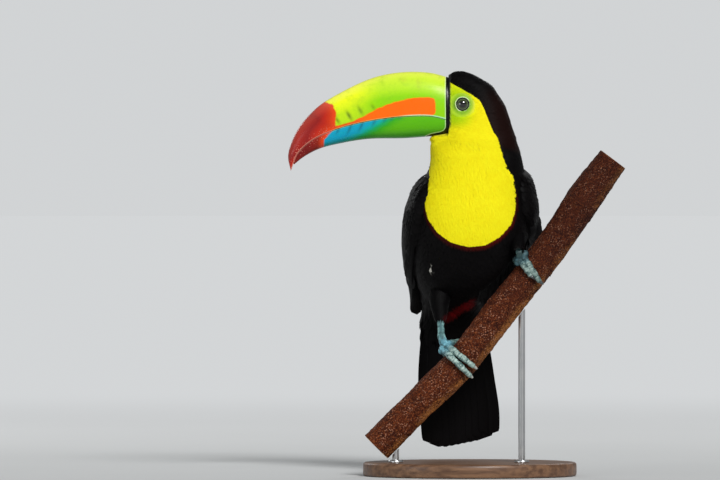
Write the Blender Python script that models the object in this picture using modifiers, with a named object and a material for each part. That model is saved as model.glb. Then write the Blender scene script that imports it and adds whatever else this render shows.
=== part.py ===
"""Keel-billed toucan gripping a cut length of branch, on a plain display stand.

Life size, in metres, +Z up. The bird's chest faces -Y and its head is turned to its right,
so the bill points to -X. The bird's left side is at +X. The origin is the centre of the
underside of the stand's base. Tables are in millimetres and are scaled by MM.
"""
import math

import bmesh
import bpy
import numpy as np

MM = 0.001
OBJECT_NAME = "keel_billed_toucan"

# Clearances between neighbours
GAP = 0.3                       # between two solids that meet
WING_GAP = 0.9                  # under a folded wing, more than the sag of the trunk's facets
BELLY_CLEARANCE = 25.5          # from the branch's axis to the belly, room for the toes
WING_CLEARANCE = 22.5           # from the branch's axis to a wing

# Sections across the bird, from the crown to below the tail coverts. Each row holds the
# spine's x, y and z, and the section's reach from it to the bird's right (-X), to its left
# (+X), to the front and to the back
BODY_SECTIONS = (
    (-9.0, -8.0, 359.3, 0.0, 0.0, 0.0, 0.0),            # crown
    (-9.0, -8.0, 357.2, 10.0, 9.5, 8.0, 8.0),
    (-8.0, -8.0, 352.4, 19.0, 18.0, 14.5, 14.5),        # brow
    (-5.0, -8.0, 346.9, 24.0, 23.8, 18.0, 18.0),
    (-2.0, -8.0, 338.5, 27.0, 26.8, 20.5, 20.5),
    (1.0, -8.0, 330.0, 30.0, 29.3, 22.0, 22.0),         # eyes
    (3.5, -8.0, 319.7, 31.5, 30.6, 23.5, 23.5),
    (5.5, -8.0, 308.0, 32.5, 32.3, 25.0, 25.0),         # jaw
    (5.5, -8.0, 302.5, 32.5, 34.2, 26.0, 26.0),
    (4.5, -8.0, 297.0, 38.0, 36.8, 27.5, 27.5),         # throat
    (4.0, -7.5, 290.0, 39.5, 39.5, 29.0, 29.0),
    (5.0, -6.5, 278.0, 40.5, 41.5, 32.0, 32.0),         # neck
    (4.5, -4.5, 266.0, 43.5, 44.5, 37.0, 37.0),
    (3.0, -1.0, 252.0, 48.0, 48.5, 42.0, 41.0),         # shoulders
    (1.5, 4.0, 235.0, 51.0, 52.0, 46.0, 43.0),
    (0.0, 11.5, 215.0, 52.5, 53.0, 47.5, 43.0),         # breast
    (-2.0, 20.0, 197.0, 50.5, 51.0, 45.0, 41.0),
    (-5.0, 29.5, 180.0, 44.5, 44.5, 38.0, 34.0),        # belly
    (-8.5, 38.0, 165.0, 36.5, 36.5, 28.0, 27.0),
    (-11.0, 44.5, 152.0, 30.5, 30.5, 19.5, 18.5),       # vent
    (-12.5, 49.0, 140.0, 28.0, 28.0, 13.0, 12.5),
    (-13.0, 52.0, 128.0, 27.0, 27.0, 8.5, 8.0),         # tips of the coverts
    (-12.5, 55.0, 100.0, 25.0, 25.0, 5.0, 5.0),         # spine under the wing tips
)
BODY_SQUARENESS = 2.15          # exponent of the sections, 2 is an ellipse
HEAD_FLOOR = 293.0              # spine heights where the body is parted
NECK_FLOOR = 262.0
TRUNK_FLOOR = 128.0

# Bill, in the plane of the head's middle: x and z from the base to the tip
BILL_Y = -8.0
BILL_BASE_X = -19.6
BILL_SEAT_Z = 301.4
CULMEN = ((-19.6, 354.0), (-33.0, 357.6), (-50.0, 358.9), (-81.0, 355.1), (-112.0, 342.0),
          (-137.0, 326.1), (-156.3, 299.0), (-161.1, 282.5), (-159.3, 271.3))
MOUTH = ((-19.6, 316.3), (-33.0, 319.3), (-55.0, 319.5), (-89.0, 315.5), (-120.0, 307.5),
         (-140.4, 298.3), (-153.4, 286.2), (-159.1, 271.1))
JAW_LINE = ((-19.6, 303.2), (-33.0, 302.0), (-55.0, 300.3), (-95.0, 299.0), (-112.0, 296.2), (-137.0, 289.4),
            (-149.0, 282.6), (-156.1, 276.9))
BILL_HALF_WIDTH = ((0.0, 17.4), (0.25, 16.2), (0.5, 14.0), (0.7, 11.0), (0.85, 7.4), (0.95, 4.2),
                   (1.0, 1.4))
JAW_NARROWING = 0.94            # lower mandible's width over the upper one's
JAW_SHARE = 0.96                # part of the mouth's length that the lower mandible takes
BILL_ROUNDNESS = 2.3            # exponent of the arched sections

# Eyes: centre of the left one (towards -Y); the right one mirrors it about BILL_Y
EYE_X = -6.7
EYE_Z = 330.2
EYE_RADIUS = 8.5
EYE_SIDE = 15.4                 # from the head's middle plane to the ball's centre

# Branch: x and z of its axis, from the lower cut end to the upper one, and its radius there
BRANCH_Y = -12.0
BRANCH_AXIS = ((-83.0, 25.8), (-35.5, 73.7), (-14.2, 94.1), (29.8, 149.6), (73.7, 205.1),
               (106.0, 253.0), (127.0, 281.0))
BRANCH_RADII = (14.4, 14.6, 14.8, 14.8, 14.8, 15.4, 13.9)
BRANCH_WAVE = 0.35              # unevenness of the radius

# Folded wings: along the wing from shoulder to tip, the angles round the body of its leading
# and trailing edges (0 is the front, 180 the back) and its greatest thickness
WING_PROFILE = (
    (0.00, 78.0, 112.0, 1.0),
    (0.08, 64.0, 128.0, 6.0),
    (0.20, 60.0, 142.0, 8.5),
    (0.40, 63.0, 156.0, 9.0),
    (0.60, 71.0, 163.0, 8.6),
    (0.78, 82.0, 165.0, 6.5),
    (0.90, 96.0, 163.0, 4.0),
    (0.97, 112.0, 158.0, 2.4),
    (1.00, 126.0, 150.0, 1.4),
)
WING_EDGE = 0.9                 # thickness left at a wing's edges
WING_LIFT = 13.0                # how far the tip stands off the rump
WING_LIFT_FROM = 0.5
# Spine heights of its shoulder and tip, and how far its leading edge draws back from the branch
WINGS = {"right": (271.0, 137.0, 0.0), "left": (276.0, 130.0, 22.0)}

# Tail, hanging behind the branch: height, middle x, middle y, half-width, thickness
TAIL_PROFILE = (
    (127.0, -13.0, 52.2, 28.0, 8.5),
    (110.0, -12.8, 54.5, 31.6, 6.0),
    (85.0, -11.5, 57.5, 34.2, 4.2),
    (55.0, -8.6, 60.5, 35.6, 3.2),
    (22.0, -7.5, 63.0, 34.0, 2.4),
)
TAIL_EDGE = 1.2
TAIL_ARCH = 5.0                 # how far its sides bend forwards of its middle
TAIL_TIP_Z = 23.5
TAIL_CORNER_RISE = 15.0         # how much shorter the outer feathers are
TAIL_LEAN = 6.5                 # how much higher the end is towards +X

# Legs and feet. Places on the branch are a distance from its lower end and an angle round
# its axis: 0 faces the bird's belly (up and to -X), 90 faces -Y
LEGS = {
    "right": {
        "thigh": ((-20.0, 18.0, 178.0), (-23.5, 3.0, 160.0), (-26.2, -8.5, 141.0)),
        "thigh_radii": (17.0, 13.5, 4.8),
        "shank_low": (-25.6, -13.0, 127.0),
        "pad": (107.0, 8.0),
        "toes": ((109.5, 12.0, 111.0, 124.0, 26.0), (104.5, 12.0, 103.0, 138.0, 26.0),
                 (109.5, 4.0, 124.0, -70.0, 26.0), (104.5, 4.0, 99.0, -112.0, 26.0)),
    },
    "left": {
        "thigh": ((30.0, 5.0, 222.0), (36.5, -10.0, 215.0), (42.0, -25.4, 203.6)),
        "thigh_radii": (15.0, 12.0, 5.2),
        "shank_low": (42.9, -26.6, 200.4),
        "pad": (212.0, 38.0),
        "toes": ((214.0, 41.0, 206.0, 122.0, 28.0), (210.0, 41.0, 205.0, 92.0, 24.0),
                 (214.0, 35.0, 215.5, -126.0, 30.0), (210.0, 35.0, 203.0, -84.0, 26.0)),
    },
}
THIGH_CUFF = 2.5                # length of a thigh's straight lower end
SHANK_RADIUS = 3.2
ANKLE_RADII = (3.2, 3.3, 3.7, 3.6)
ANKLE_BEND = 2.2                # how far the shank's line runs on before it turns into the foot
CLAW_ARCH = 1.6                 # how far a claw stands off between its root and its tip
TOE_RADIUS_ROOT = 3.1
TOE_RADIUS_TIP = 2.3
CLAW_RADIUS = 1.8
CLAW_TIP_RADIUS = 0.35
PAD_LENGTH = 8.5                # half its length along the branch
PAD_HEIGHT = 4.2                # half its thickness
FOOT_GAP = 0.75                 # between the branch's mean radius and a toe, over BRANCH_WAVE

# Display stand
BASE_LENGTH = 190.0
BASE_WIDTH = 150.0
BASE_HEIGHT = 12.0
BASE_BEVEL = 1.5
ROD_RADIUS = 3.0
ROD_PLACES = {"stand_rod_short": -66.0, "stand_rod_long": 46.0}

# Facets
BODY_SIDES = 32
BRANCH_SIDES = 18
TOE_SIDES = 7
BASE_SIDES = 56

COLOURS = {
    "head": (0.85, 0.78, 0.03),
    "neck": (0.90, 0.80, 0.02),
    "trunk": (0.012, 0.011, 0.012),
    "wing": (0.010, 0.010, 0.012),
    "tail": (0.009, 0.009, 0.010),
    "thigh": (0.012, 0.010, 0.010),
    "foot": (0.22, 0.50, 0.58),
    "bill_upper": (0.32, 0.62, 0.06),
    "bill_lower": (0.10, 0.55, 0.62),
    "eye": (0.01, 0.02, 0.01),
    "perch": (0.16, 0.055, 0.03),
    "base": (0.45, 0.31, 0.19),
    "rod": (0.55, 0.55, 0.55),
}
ROUGHNESS = {"eye": 0.08, "bill_upper": 0.3, "bill_lower": 0.3, "rod": 0.3, "base": 0.45}
METALLIC = {"rod": 1.0}


# ---------------------------------------------------------------- curves and body shape

def smooth_curve(knots, values, at):
    """Cubic curve through values at the knots, with central differences as its slopes."""
    knots = np.asarray(knots, dtype=float)
    values = np.asarray(values, dtype=float)
    slopes = np.gradient(values, knots, axis=0)
    at = np.clip(np.asarray(at, dtype=float), knots[0], knots[-1])
    index = np.clip(np.searchsorted(knots, at, side="right") - 1, 0, len(knots) - 2)
    step = knots[index + 1] - knots[index]
    t = (at - knots[index]) / step
    if values.ndim > 1:
        t = t[..., None]
        step = step[..., None]
    near = values[index] * (1 + 2 * t) * (1 - t) ** 2 + values[index + 1] * t ** 2 * (3 - 2 * t)
    return near + step * t * (1 - t) * (slopes[index] * (1 - t) - slopes[index + 1] * t)


def chord_knots(points):
    """Distance along a list of points, from the first one."""
    steps = np.linalg.norm(np.diff(np.asarray(points, dtype=float), axis=0), axis=1)
    return np.concatenate(([0.0], np.cumsum(steps)))


def body_table():
    """Knots and rows of BODY_SECTIONS, with a row mirrored over the crown to round it off."""
    rows = np.array(BODY_SECTIONS)
    over_crown = rows[1] * np.array((1, 1, 1, -1, -1, -1, -1))
    knots = chord_knots(np.column_stack((rows[:, 2], rows[:, 3:].mean(axis=1))))
    return np.concatenate(([-knots[1]], knots)), np.vstack((over_crown, rows))


BODY_KNOTS, BODY_ROWS = body_table()


def spine_place(height):
    """Distance along the body's table at which the spine is at a height."""
    fine = np.linspace(0.0, BODY_KNOTS[-1], 2000)
    heights = smooth_curve(BODY_KNOTS, BODY_ROWS, fine)[:, 2]
    return float(np.interp(-height, -heights, fine))


def clear_of_branch(points, clearance):
    """Points nearer to the branch's axis than the clearance, moved straight out to it."""
    axis = branch_axis_point(np.linspace(0.0, branch_length(), 400))
    offsets = points[..., None, :] - axis
    nearest = np.argmin((offsets ** 2).sum(axis=-1), axis=-1)
    away = points - axis[nearest]
    distance = np.linalg.norm(away, axis=-1, keepdims=True)
    return points + away / distance * np.maximum(clearance - distance, 0.0)


def body_point(place, angle, grow=0.0):
    """Point of the body's surface, grown outwards, at a place on the spine and an angle.

    A section is a superellipse across the spine: x = cx + reach * sin(a)^p, and the same
    power of cos(a) times the front or back reach along the section's forward direction.
    """
    place = np.asarray(place, dtype=float)
    angle = np.asarray(angle, dtype=float)
    row = smooth_curve(BODY_KNOTS, BODY_ROWS, place)
    probe = 3.0
    ahead = smooth_curve(BODY_KNOTS, BODY_ROWS, np.minimum(place + probe, BODY_KNOTS[-1]))
    behind = smooth_curve(BODY_KNOTS, BODY_ROWS, np.maximum(place - probe, 0.0))
    tangent = (ahead - behind)[..., 1:3]
    tangent = tangent / np.linalg.norm(tangent, axis=-1, keepdims=True)
    power = 2.0 / BODY_SQUARENESS
    sine = np.sin(angle)
    cosine = np.cos(angle)
    side_reach = np.where(sine > 0, row[..., 4], row[..., 3]) + grow
    deep_reach = np.where(cosine > 0, row[..., 5], row[..., 6]) + grow
    across = side_reach * np.sign(sine) * np.abs(sine) ** power
    forward = deep_reach * np.sign(cosine) * np.abs(cosine) ** power
    x = row[..., 0] + across
    y = row[..., 1] + forward * tangent[..., 1]
    z = row[..., 2] - forward * tangent[..., 0]
    return np.stack((x, y, z), axis=-1)


def body_rings(top, bottom, count, grow=0.0):
    """Rings of the body between two spine heights, evenly spaced along the table."""
    places = np.linspace(spine_place(top), spine_place(bottom), count)
    angles = np.linspace(0.0, 2 * math.pi, BODY_SIDES, endpoint=False)
    return body_point(places[:, None], angles[None, :], grow)


# ---------------------------------------------------------------- branch

def branch_knots():
    return chord_knots(BRANCH_AXIS)


def branch_length():
    return float(branch_knots()[-1])


def branch_axis_point(distance):
    """Point of the branch's axis at a distance from its lower end."""
    flat = smooth_curve(branch_knots(), BRANCH_AXIS, distance)
    return np.stack((flat[..., 0], np.full(flat.shape[:-1], BRANCH_Y), flat[..., 1]), axis=-1)


def branch_radius(distance):
    return smooth_curve(branch_knots(), BRANCH_RADII, distance)


def round_branch(distance, angle, radius):
    """Point at a radius from the branch's axis; angle 0 faces the belly, 90 degrees -Y."""
    distance = np.asarray(distance, dtype=float)
    angle = np.asarray(angle, dtype=float)
    axis = branch_axis_point(distance)
    along = branch_axis_point(distance + 1.0) - branch_axis_point(distance - 1.0)
    along = along / np.linalg.norm(along, axis=-1, keepdims=True)
    belly_side = np.stack((-along[..., 2], np.zeros_like(angle), along[..., 0]), axis=-1)
    near_side = np.array((0.0, -1.0, 0.0))
    out = np.cos(angle)[..., None] * belly_side + np.sin(angle)[..., None] * near_side
    return axis + out * np.asarray(radius)[..., None]


# ---------------------------------------------------------------- mesh helpers

def new_object(name, mesh, collection):
    obj = bpy.data.objects.new(name, mesh)
    collection.objects.link(obj)
    return obj


def mesh_from(name, points, faces):
    """Mesh from points in millimetres, its faces turned outwards and shaded smooth."""
    mesh = bpy.data.meshes.new(name)
    mesh.from_pydata((np.asarray(points) * MM).tolist(), [], faces)
    work = bmesh.new()
    work.from_mesh(mesh)
    bmesh.ops.recalc_face_normals(work, faces=work.faces)
    work.to_mesh(mesh)
    work.free()
    mesh.shade_smooth()
    mesh.set_sharp_from_angle(angle=math.radians(40))
    return mesh


def loft_faces(ring_count, sides, first=0):
    """Quads that join each ring of points to the next one."""
    faces = []
    for ring in range(ring_count - 1):
        start = first + ring * sides
        for side in range(sides):
            after = (side + 1) % sides
            faces.append((start + side, start + after, start + sides + after, start + sides + side))
    return faces


def loft(name, rings):
    """Closed loft through rings of points, with a flat face on each end."""
    ring_count, sides = rings.shape[:2]
    faces = loft_faces(ring_count, sides)
    faces.append(tuple(range(sides)))
    faces.append(tuple(range((ring_count - 1) * sides, ring_count * sides)))
    return mesh_from(name, rings.reshape(-1, 3), faces)


def domed_loft(name, pole, rings):
    """Closed loft whose first end is drawn to one point and whose last end is flat."""
    ring_count, sides = rings.shape[:2]
    points = np.vstack((pole[None, :], rings.reshape(-1, 3)))
    faces = [(0, 1 + side, 1 + (side + 1) % sides) for side in range(sides)]
    faces += loft_faces(ring_count, sides, first=1)
    faces.append(tuple(range(1 + (ring_count - 1) * sides, 1 + ring_count * sides)))
    return mesh_from(name, points, faces)


def blade(name, upper, lower):
    """Closed thin solid between two grids of points that have the same rows and columns."""
    rings = np.concatenate((lower, upper[:, ::-1]), axis=1)
    ring_count, sides = rings.shape[:2]
    faces = loft_faces(ring_count, sides)
    for start in (0, (ring_count - 1) * sides):
        for column in range(sides // 2 - 1):
            left = start + column
            right = start + sides - 1 - column
            faces.append((left, left + 1, right - 1, right))
    return mesh_from(name, rings.reshape(-1, 3), faces)


def tube_rings(path, radii, sides, across=(0.17, 0.93, 0.31)):
    """Rings of a round tube carried along a path, with one radius for each of its points.

    The rings are turned by a direction that the path never takes.
    """
    path = np.asarray(path, dtype=float)
    along = np.gradient(path, axis=0)
    along = along / np.linalg.norm(along, axis=1, keepdims=True)
    side = np.cross(along, across)
    side = side / np.linalg.norm(side, axis=1, keepdims=True)
    other = np.cross(along, side)
    turns = np.linspace(0.0, 2 * math.pi, sides, endpoint=False)
    circle = np.cos(turns)[None, :, None] * side[:, None] + np.sin(turns)[None, :, None] * other[:, None]
    return path[:, None] + circle * np.asarray(radii, dtype=float)[:, None, None]


def boolean(obj, cutter, operation):
    """Exact Boolean modifier of obj with a cutter, which stays out of renders."""
    modifier = obj.modifiers.new(cutter.name, "BOOLEAN")
    modifier.operation = operation
    modifier.solver = "EXACT"
    modifier.object = cutter
    cutter.hide_render = True
    cutter.display_type = "WIRE"


def sphere(name, centre, radii, collection, segments=16, rings=9):
    """Ellipsoid with its size and place in its mesh."""
    mesh = bpy.data.meshes.new(name)
    work = bmesh.new()
    bmesh.ops.create_uvsphere(work, u_segments=segments, v_segments=rings, radius=1.0)
    bmesh.ops.scale(work, vec=tuple(r * MM for r in radii), verts=work.verts)
    bmesh.ops.translate(work, vec=tuple(c * MM for c in centre), verts=work.verts)
    work.to_mesh(mesh)
    work.free()
    mesh.shade_smooth()
    return new_object(name, mesh, collection)


def finish(name):
    """Material of one finish, made once."""
    material = bpy.data.materials.get(name)
    if material is None:
        material = bpy.data.materials.new(name)
        material.use_nodes = True
        shader = material.node_tree.nodes["Principled BSDF"]
        shader.inputs["Base Color"].default_value = (*COLOURS[name], 1.0)
        shader.inputs["Roughness"].default_value = ROUGHNESS.get(name, 0.6)
        shader.inputs["Metallic"].default_value = METALLIC.get(name, 0.0)
    return material


# ---------------------------------------------------------------- bird

def make_head(parts, cutters):
    """Head down to the throat, with its flat seat for the bill and two eye sockets."""
    rings = body_rings(358.2, HEAD_FLOOR, 11)
    crown = np.array(BODY_SECTIONS[0][:3])
    head = new_object("head", domed_loft("head", crown, rings), parts)
    seat_low = np.array((-60.0, -60.0, BILL_SEAT_Z))
    seat_high = np.array((BILL_BASE_X + GAP, 60.0, 380.0))
    work = bmesh.new()
    bmesh.ops.create_cube(work, size=1.0)
    bmesh.ops.scale(work, vec=tuple((seat_high - seat_low) * MM), verts=work.verts)
    bmesh.ops.translate(work, vec=tuple((seat_high + seat_low) / 2 * MM), verts=work.verts)
    mesh = bpy.data.meshes.new("bill_seat")
    work.to_mesh(mesh)
    work.free()
    boolean(head, new_object("bill_seat", mesh, cutters), "DIFFERENCE")
    for side, sign in (("left", -1), ("right", 1)):
        centre = (EYE_X, BILL_Y + sign * EYE_SIDE, EYE_Z)
        socket = sphere("eye_socket_" + side, centre, [EYE_RADIUS + GAP] * 3, cutters)
        boolean(head, socket, "DIFFERENCE")
        sphere("eye_" + side, centre, [EYE_RADIUS] * 3, parts)


def make_neck(parts):
    rings = body_rings(HEAD_FLOOR - GAP, NECK_FLOOR, 5)
    new_object("neck", loft("neck", rings), parts)


def trunk_rings(grow):
    rings = body_rings(NECK_FLOOR - GAP, TRUNK_FLOOR, 17, grow)
    return clear_of_branch(rings, BELLY_CLEARANCE - grow)


def make_trunk(parts):
    new_object("trunk", loft("trunk", trunk_rings(0.0)), parts)


def wing_grid(side, share, grow_share):
    """Points of a wing's face: share 0 is its underside, share 1 its outside.

    Rows go from the shoulder to the tip along the spine, columns from the leading to the
    trailing edge round the body. The outside stands off by a lens-shaped thickness.
    """
    top, bottom, tuck = WINGS[side]
    profile = np.array(WING_PROFILE)
    row = smooth_curve(profile[:, 0], profile[:, 1:], share)
    row[:, 0] += tuck * np.sin(math.pi * np.clip(share * 1.25 - 0.2, 0.0, 1.0)) ** 2
    chord = np.linspace(0.0, 1.0, 13)
    angle = np.radians(row[:, :1] + (row[:, 1:2] - row[:, :1]) * chord)
    lens = (4 * chord * (1 - chord)) ** 0.55
    thickness = WING_EDGE + np.maximum(row[:, 2:3] - WING_EDGE, 0.1) * lens
    lift = WING_LIFT * (np.maximum(share - WING_LIFT_FROM, 0.0) / (1 - WING_LIFT_FROM)) ** 1.6
    place = spine_place(top) + (spine_place(bottom) - spine_place(top)) * share
    sign = {"left": 1.0, "right": -1.0}[side]
    grow = WING_GAP + lift[:, None] + thickness * grow_share
    points = body_point(place[:, None], sign * angle, grow)
    clearance = WING_CLEARANCE + thickness * grow_share
    return clear_of_branch(points, clearance[..., None])


def make_wing(side, parts):
    share = np.concatenate(([0.0, 0.03], np.linspace(0.08, 0.92, 12), [0.965, 1.0]))
    upper = wing_grid(side, share, 1.0)
    lower = wing_grid(side, share, 0.0)
    new_object("wing_" + side, blade("wing_" + side, upper, lower), parts)


def tail_tip_height(across):
    """Height of the tail's rounded end: higher at the corners, with shallow feather lobes."""
    corner = TAIL_CORNER_RISE * np.abs(across) ** 5
    lean = TAIL_LEAN * np.maximum(across + 0.55, 0.0)
    lobes = 1.2 * (1 - np.abs(np.cos(across * 2.5 * math.pi)))
    return TAIL_TIP_Z + corner + lean + lobes


def make_tail(parts):
    """Flat fan of tail feathers: an arched blade with a rounded, lobed end."""
    profile = np.array(TAIL_PROFILE)
    across = np.linspace(-1.0, 1.0, 17)
    down = np.linspace(0.0, 1.0, 11)[:, None]
    height = profile[0, 0] - down * (profile[0, 0] - tail_tip_height(across))
    row = smooth_curve(-profile[:, 0], profile[:, 1:], -height)
    half_thickness = np.maximum(row[..., 3] * np.sqrt(np.maximum(1 - across ** 2, 0.0)), TAIL_EDGE) / 2
    x = row[..., 0] + across * row[..., 2]
    y = row[..., 1] - TAIL_ARCH * across ** 2 * np.minimum(down * 4, 1.0)
    front = np.stack((x, y - half_thickness, height), axis=-1)
    back = np.stack((x, y + half_thickness, height), axis=-1)
    new_object("tail", blade("tail", back, front), parts)


def bill_rings(edge, mouth, half_width, gap_sign, sides):
    """Arched sections that stand on the mouth line and reach to the culmen or the jaw line.

    y = w * cos(a)^p and height = h * sin(a)^p for a from 0 to pi, closed along the mouth.
    """
    power = 2.0 / BILL_ROUNDNESS
    turn = np.linspace(0.0, math.pi, sides)
    across = np.sign(np.cos(turn)) * np.abs(np.cos(turn)) ** power
    rise = np.sin(turn) ** power
    rise[-1] = 0.0
    flat = mouth[:, None] + (edge - mouth)[:, None] * rise[:, None]
    y = BILL_Y + half_width[:, None] * across
    z = flat[..., 1] + gap_sign * GAP / 2
    return np.stack((flat[..., 0], y, z), axis=-1)


def even_curve(points, share):
    knots = chord_knots(points)
    return smooth_curve(knots, points, np.asarray(share) * knots[-1])


def make_bill(parts):
    """Upper mandible with its hooked tip, and the lower mandible under it."""
    width_table = np.array(BILL_HALF_WIDTH)
    share = 1 - (1 - np.linspace(0.0, 1.0, 21)) ** 1.25
    width = smooth_curve(width_table[:, 0], width_table[:, 1], share)
    mouth = even_curve(MOUTH, share)
    upper = bill_rings(even_curve(CULMEN, share), mouth, width, 1, 15)
    new_object("bill_upper", loft("bill_upper", upper), parts)
    held = share <= JAW_SHARE
    along_jaw = share[held] / share[held][-1]
    width = JAW_NARROWING * width[held] * np.sqrt(1.02 - along_jaw ** 9)
    lower = bill_rings(even_curve(JAW_LINE, along_jaw), mouth[held], width, -1, 13)
    new_object("bill_lower", loft("bill_lower", lower), parts)


def make_leg(side, parts, cutters):
    """Feathered thigh under the trunk, bare shank, and the foot that grips the branch."""
    leg = LEGS[side]
    top = np.array(leg["thigh"][-1])
    low = np.array(leg["shank_low"])
    down = (low - top) / np.linalg.norm(low - top)
    knots = chord_knots(leg["thigh"])
    fine = np.linspace(0.0, knots[-1], 7)
    path = smooth_curve(knots, leg["thigh"], fine)
    path[-2] = top - down * THIGH_CUFF
    radii = smooth_curve(knots, leg["thigh_radii"], fine)
    thigh = new_object("thigh_" + side, loft("thigh_" + side, tube_rings(path, radii, 14)), parts)
    boolean(thigh, bpy.data.objects["trunk_clearance"], "DIFFERENCE")
    shank = np.linspace(top + down * GAP * 2, low, 3)
    shank_mesh = loft("shank_" + side, tube_rings(shank, [SHANK_RADIUS] * 3, 10))
    new_object("shank_" + side, shank_mesh, parts)
    make_foot(side, leg, low + down * GAP, down, parts, cutters)


def make_foot(side, leg, ankle, down, parts, cutters):
    """Pad, ankle and four toes with their claws, joined into one solid."""
    distance, degrees = leg["pad"]
    pad_radius = float(branch_radius(distance)) + FOOT_GAP + PAD_HEIGHT
    centre = round_branch(distance, math.radians(degrees), pad_radius)
    share = np.linspace(-0.96, 0.96, 9)
    pad_path = round_branch(distance + PAD_LENGTH * share, np.full(9, math.radians(degrees)), pad_radius)
    pad = tube_rings(pad_path, PAD_HEIGHT * np.sqrt(1 - share ** 2), 12)
    foot = new_object("foot_" + side, loft("foot_" + side, pad), parts)
    bend = ankle + down * ANKLE_BEND
    lean = np.array((ankle, bend, (bend + centre) / 2, centre))
    limbs = [tube_rings(lean, ANKLE_RADII, 10)]
    for toe in leg["toes"]:
        limbs.append(toe_rings(*toe))
    for number, rings in enumerate(limbs):
        name = "limb_%s_%d" % (side, number)
        boolean(foot, new_object(name, loft(name, rings), cutters), "UNION")


def toe_rings(start, start_angle, end, end_angle, claw_angle):
    """Toe that lies round the branch, ending in a claw that curls on by claw_angle degrees."""
    bones = np.linspace(0.0, 1.0, 7)
    claw = np.array((0.12, 0.5, 1.0))
    turn = math.copysign(claw_angle, end_angle - start_angle)
    angles = np.concatenate((start_angle + (end_angle - start_angle) * bones, end_angle + turn * claw))
    places = np.concatenate((start + (end - start) * bones, np.full(len(claw), end)))
    toe_radii = TOE_RADIUS_ROOT + (TOE_RADIUS_TIP - TOE_RADIUS_ROOT) * bones
    claw_radii = CLAW_RADIUS + (CLAW_TIP_RADIUS - CLAW_RADIUS) * claw
    radii = np.concatenate((toe_radii, claw_radii))
    arch = np.concatenate((np.zeros(len(bones)), CLAW_ARCH * np.sin(math.pi * claw)))
    axis_radii = branch_radius(places) + FOOT_GAP + radii + arch
    path = round_branch(places, np.radians(angles), axis_radii)
    return tube_rings(path, radii, TOE_SIDES, across=(0.62, 0.0, 0.78))


# ---------------------------------------------------------------- perch and stand

def make_perch(parts):
    """Cut length of a rough branch: round sections whose radius wavers a little."""
    distance = np.linspace(0.0, branch_length(), 25)[:, None]
    angle = np.linspace(0.0, 2 * math.pi, BRANCH_SIDES, endpoint=False)[None, :]
    waver = np.sin(distance / 11.0 + 2 * angle) + np.sin(distance / 17.0 - 3 * angle + 1.0)
    radius = branch_radius(distance) + BRANCH_WAVE * waver / 2
    distance = np.broadcast_to(distance, radius.shape)
    angle = np.broadcast_to(angle, radius.shape)
    new_object("perch_branch", loft("perch_branch", round_branch(distance, angle, radius)), parts)


def cylinder_mesh(name, radii, low, high, place, sides):
    """Upright elliptic cylinder with its size and place in its mesh."""
    work = bmesh.new()
    bmesh.ops.create_cone(work, cap_ends=True, segments=sides, radius1=1.0, radius2=1.0, depth=1.0)
    bmesh.ops.scale(work, vec=(radii[0] * MM, radii[1] * MM, (high - low) * MM), verts=work.verts)
    middle = (place[0] * MM, place[1] * MM, (high + low) / 2 * MM)
    bmesh.ops.translate(work, vec=middle, verts=work.verts)
    mesh = bpy.data.meshes.new(name)
    work.to_mesh(mesh)
    work.free()
    mesh.shade_smooth()
    mesh.set_sharp_from_angle(angle=math.radians(40))
    return mesh


def make_stand(parts, cutters):
    """Oval base and two upright rods whose tops are shaped to the branch's underside."""
    base_mesh = cylinder_mesh("stand_base", (BASE_LENGTH / 2, BASE_WIDTH / 2), 0.0, BASE_HEIGHT,
                              (0.0, 0.0), BASE_SIDES)
    base = new_object("stand_base", base_mesh, parts)
    bevel = base.modifiers.new("rounded_rim", "BEVEL")
    bevel.width = BASE_BEVEL * MM
    bevel.segments = 1
    distance = np.linspace(0.0, branch_length(), 25)
    path = branch_axis_point(distance)
    radii = branch_radius(distance) + BRANCH_WAVE + GAP + 0.2
    clearance_mesh = loft("branch_clearance", tube_rings(path, radii, BRANCH_SIDES * 2))
    clearance = new_object("branch_clearance", clearance_mesh, cutters)
    for name, x in ROD_PLACES.items():
        axis = branch_axis_point(np.linspace(0.0, branch_length(), 400))
        middle = float(np.interp(x, axis[:, 0], axis[:, 2]))
        rod_mesh = cylinder_mesh(name, (ROD_RADIUS, ROD_RADIUS), BASE_HEIGHT + GAP, middle,
                                 (x, BRANCH_Y), 16)
        boolean(new_object(name, rod_mesh, parts), clearance, "DIFFERENCE")


FINISH_OF = {
    "head": "head", "neck": "neck", "trunk": "trunk", "tail": "tail",
    "bill_upper": "bill_upper", "bill_lower": "bill_lower", "perch_branch": "perch",
    "stand_base": "base", "stand_rod_short": "rod", "stand_rod_long": "rod",
}


def main():
    for obj in list(bpy.data.objects):
        bpy.data.objects.remove(obj, do_unlink=True)
    parts = bpy.data.collections.new(OBJECT_NAME)
    cutters = bpy.data.collections.new("cutters")
    for collection in (parts, cutters):
        bpy.context.scene.collection.children.link(collection)
    new_object("trunk_clearance", loft("trunk_clearance", trunk_rings(2.5 * GAP)), cutters)
    make_head(parts, cutters)
    make_neck(parts)
    make_trunk(parts)
    make_tail(parts)
    make_bill(parts)
    for side in ("left", "right"):
        make_wing(side, parts)
        make_leg(side, parts, cutters)
    make_perch(parts)
    make_stand(parts, cutters)
    for obj in parts.objects:
        kind = FINISH_OF.get(obj.name, obj.name.split("_")[0])
        obj.data.materials.append(finish({"shank": "foot"}.get(kind, kind)))


main()
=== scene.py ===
import math

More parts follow.
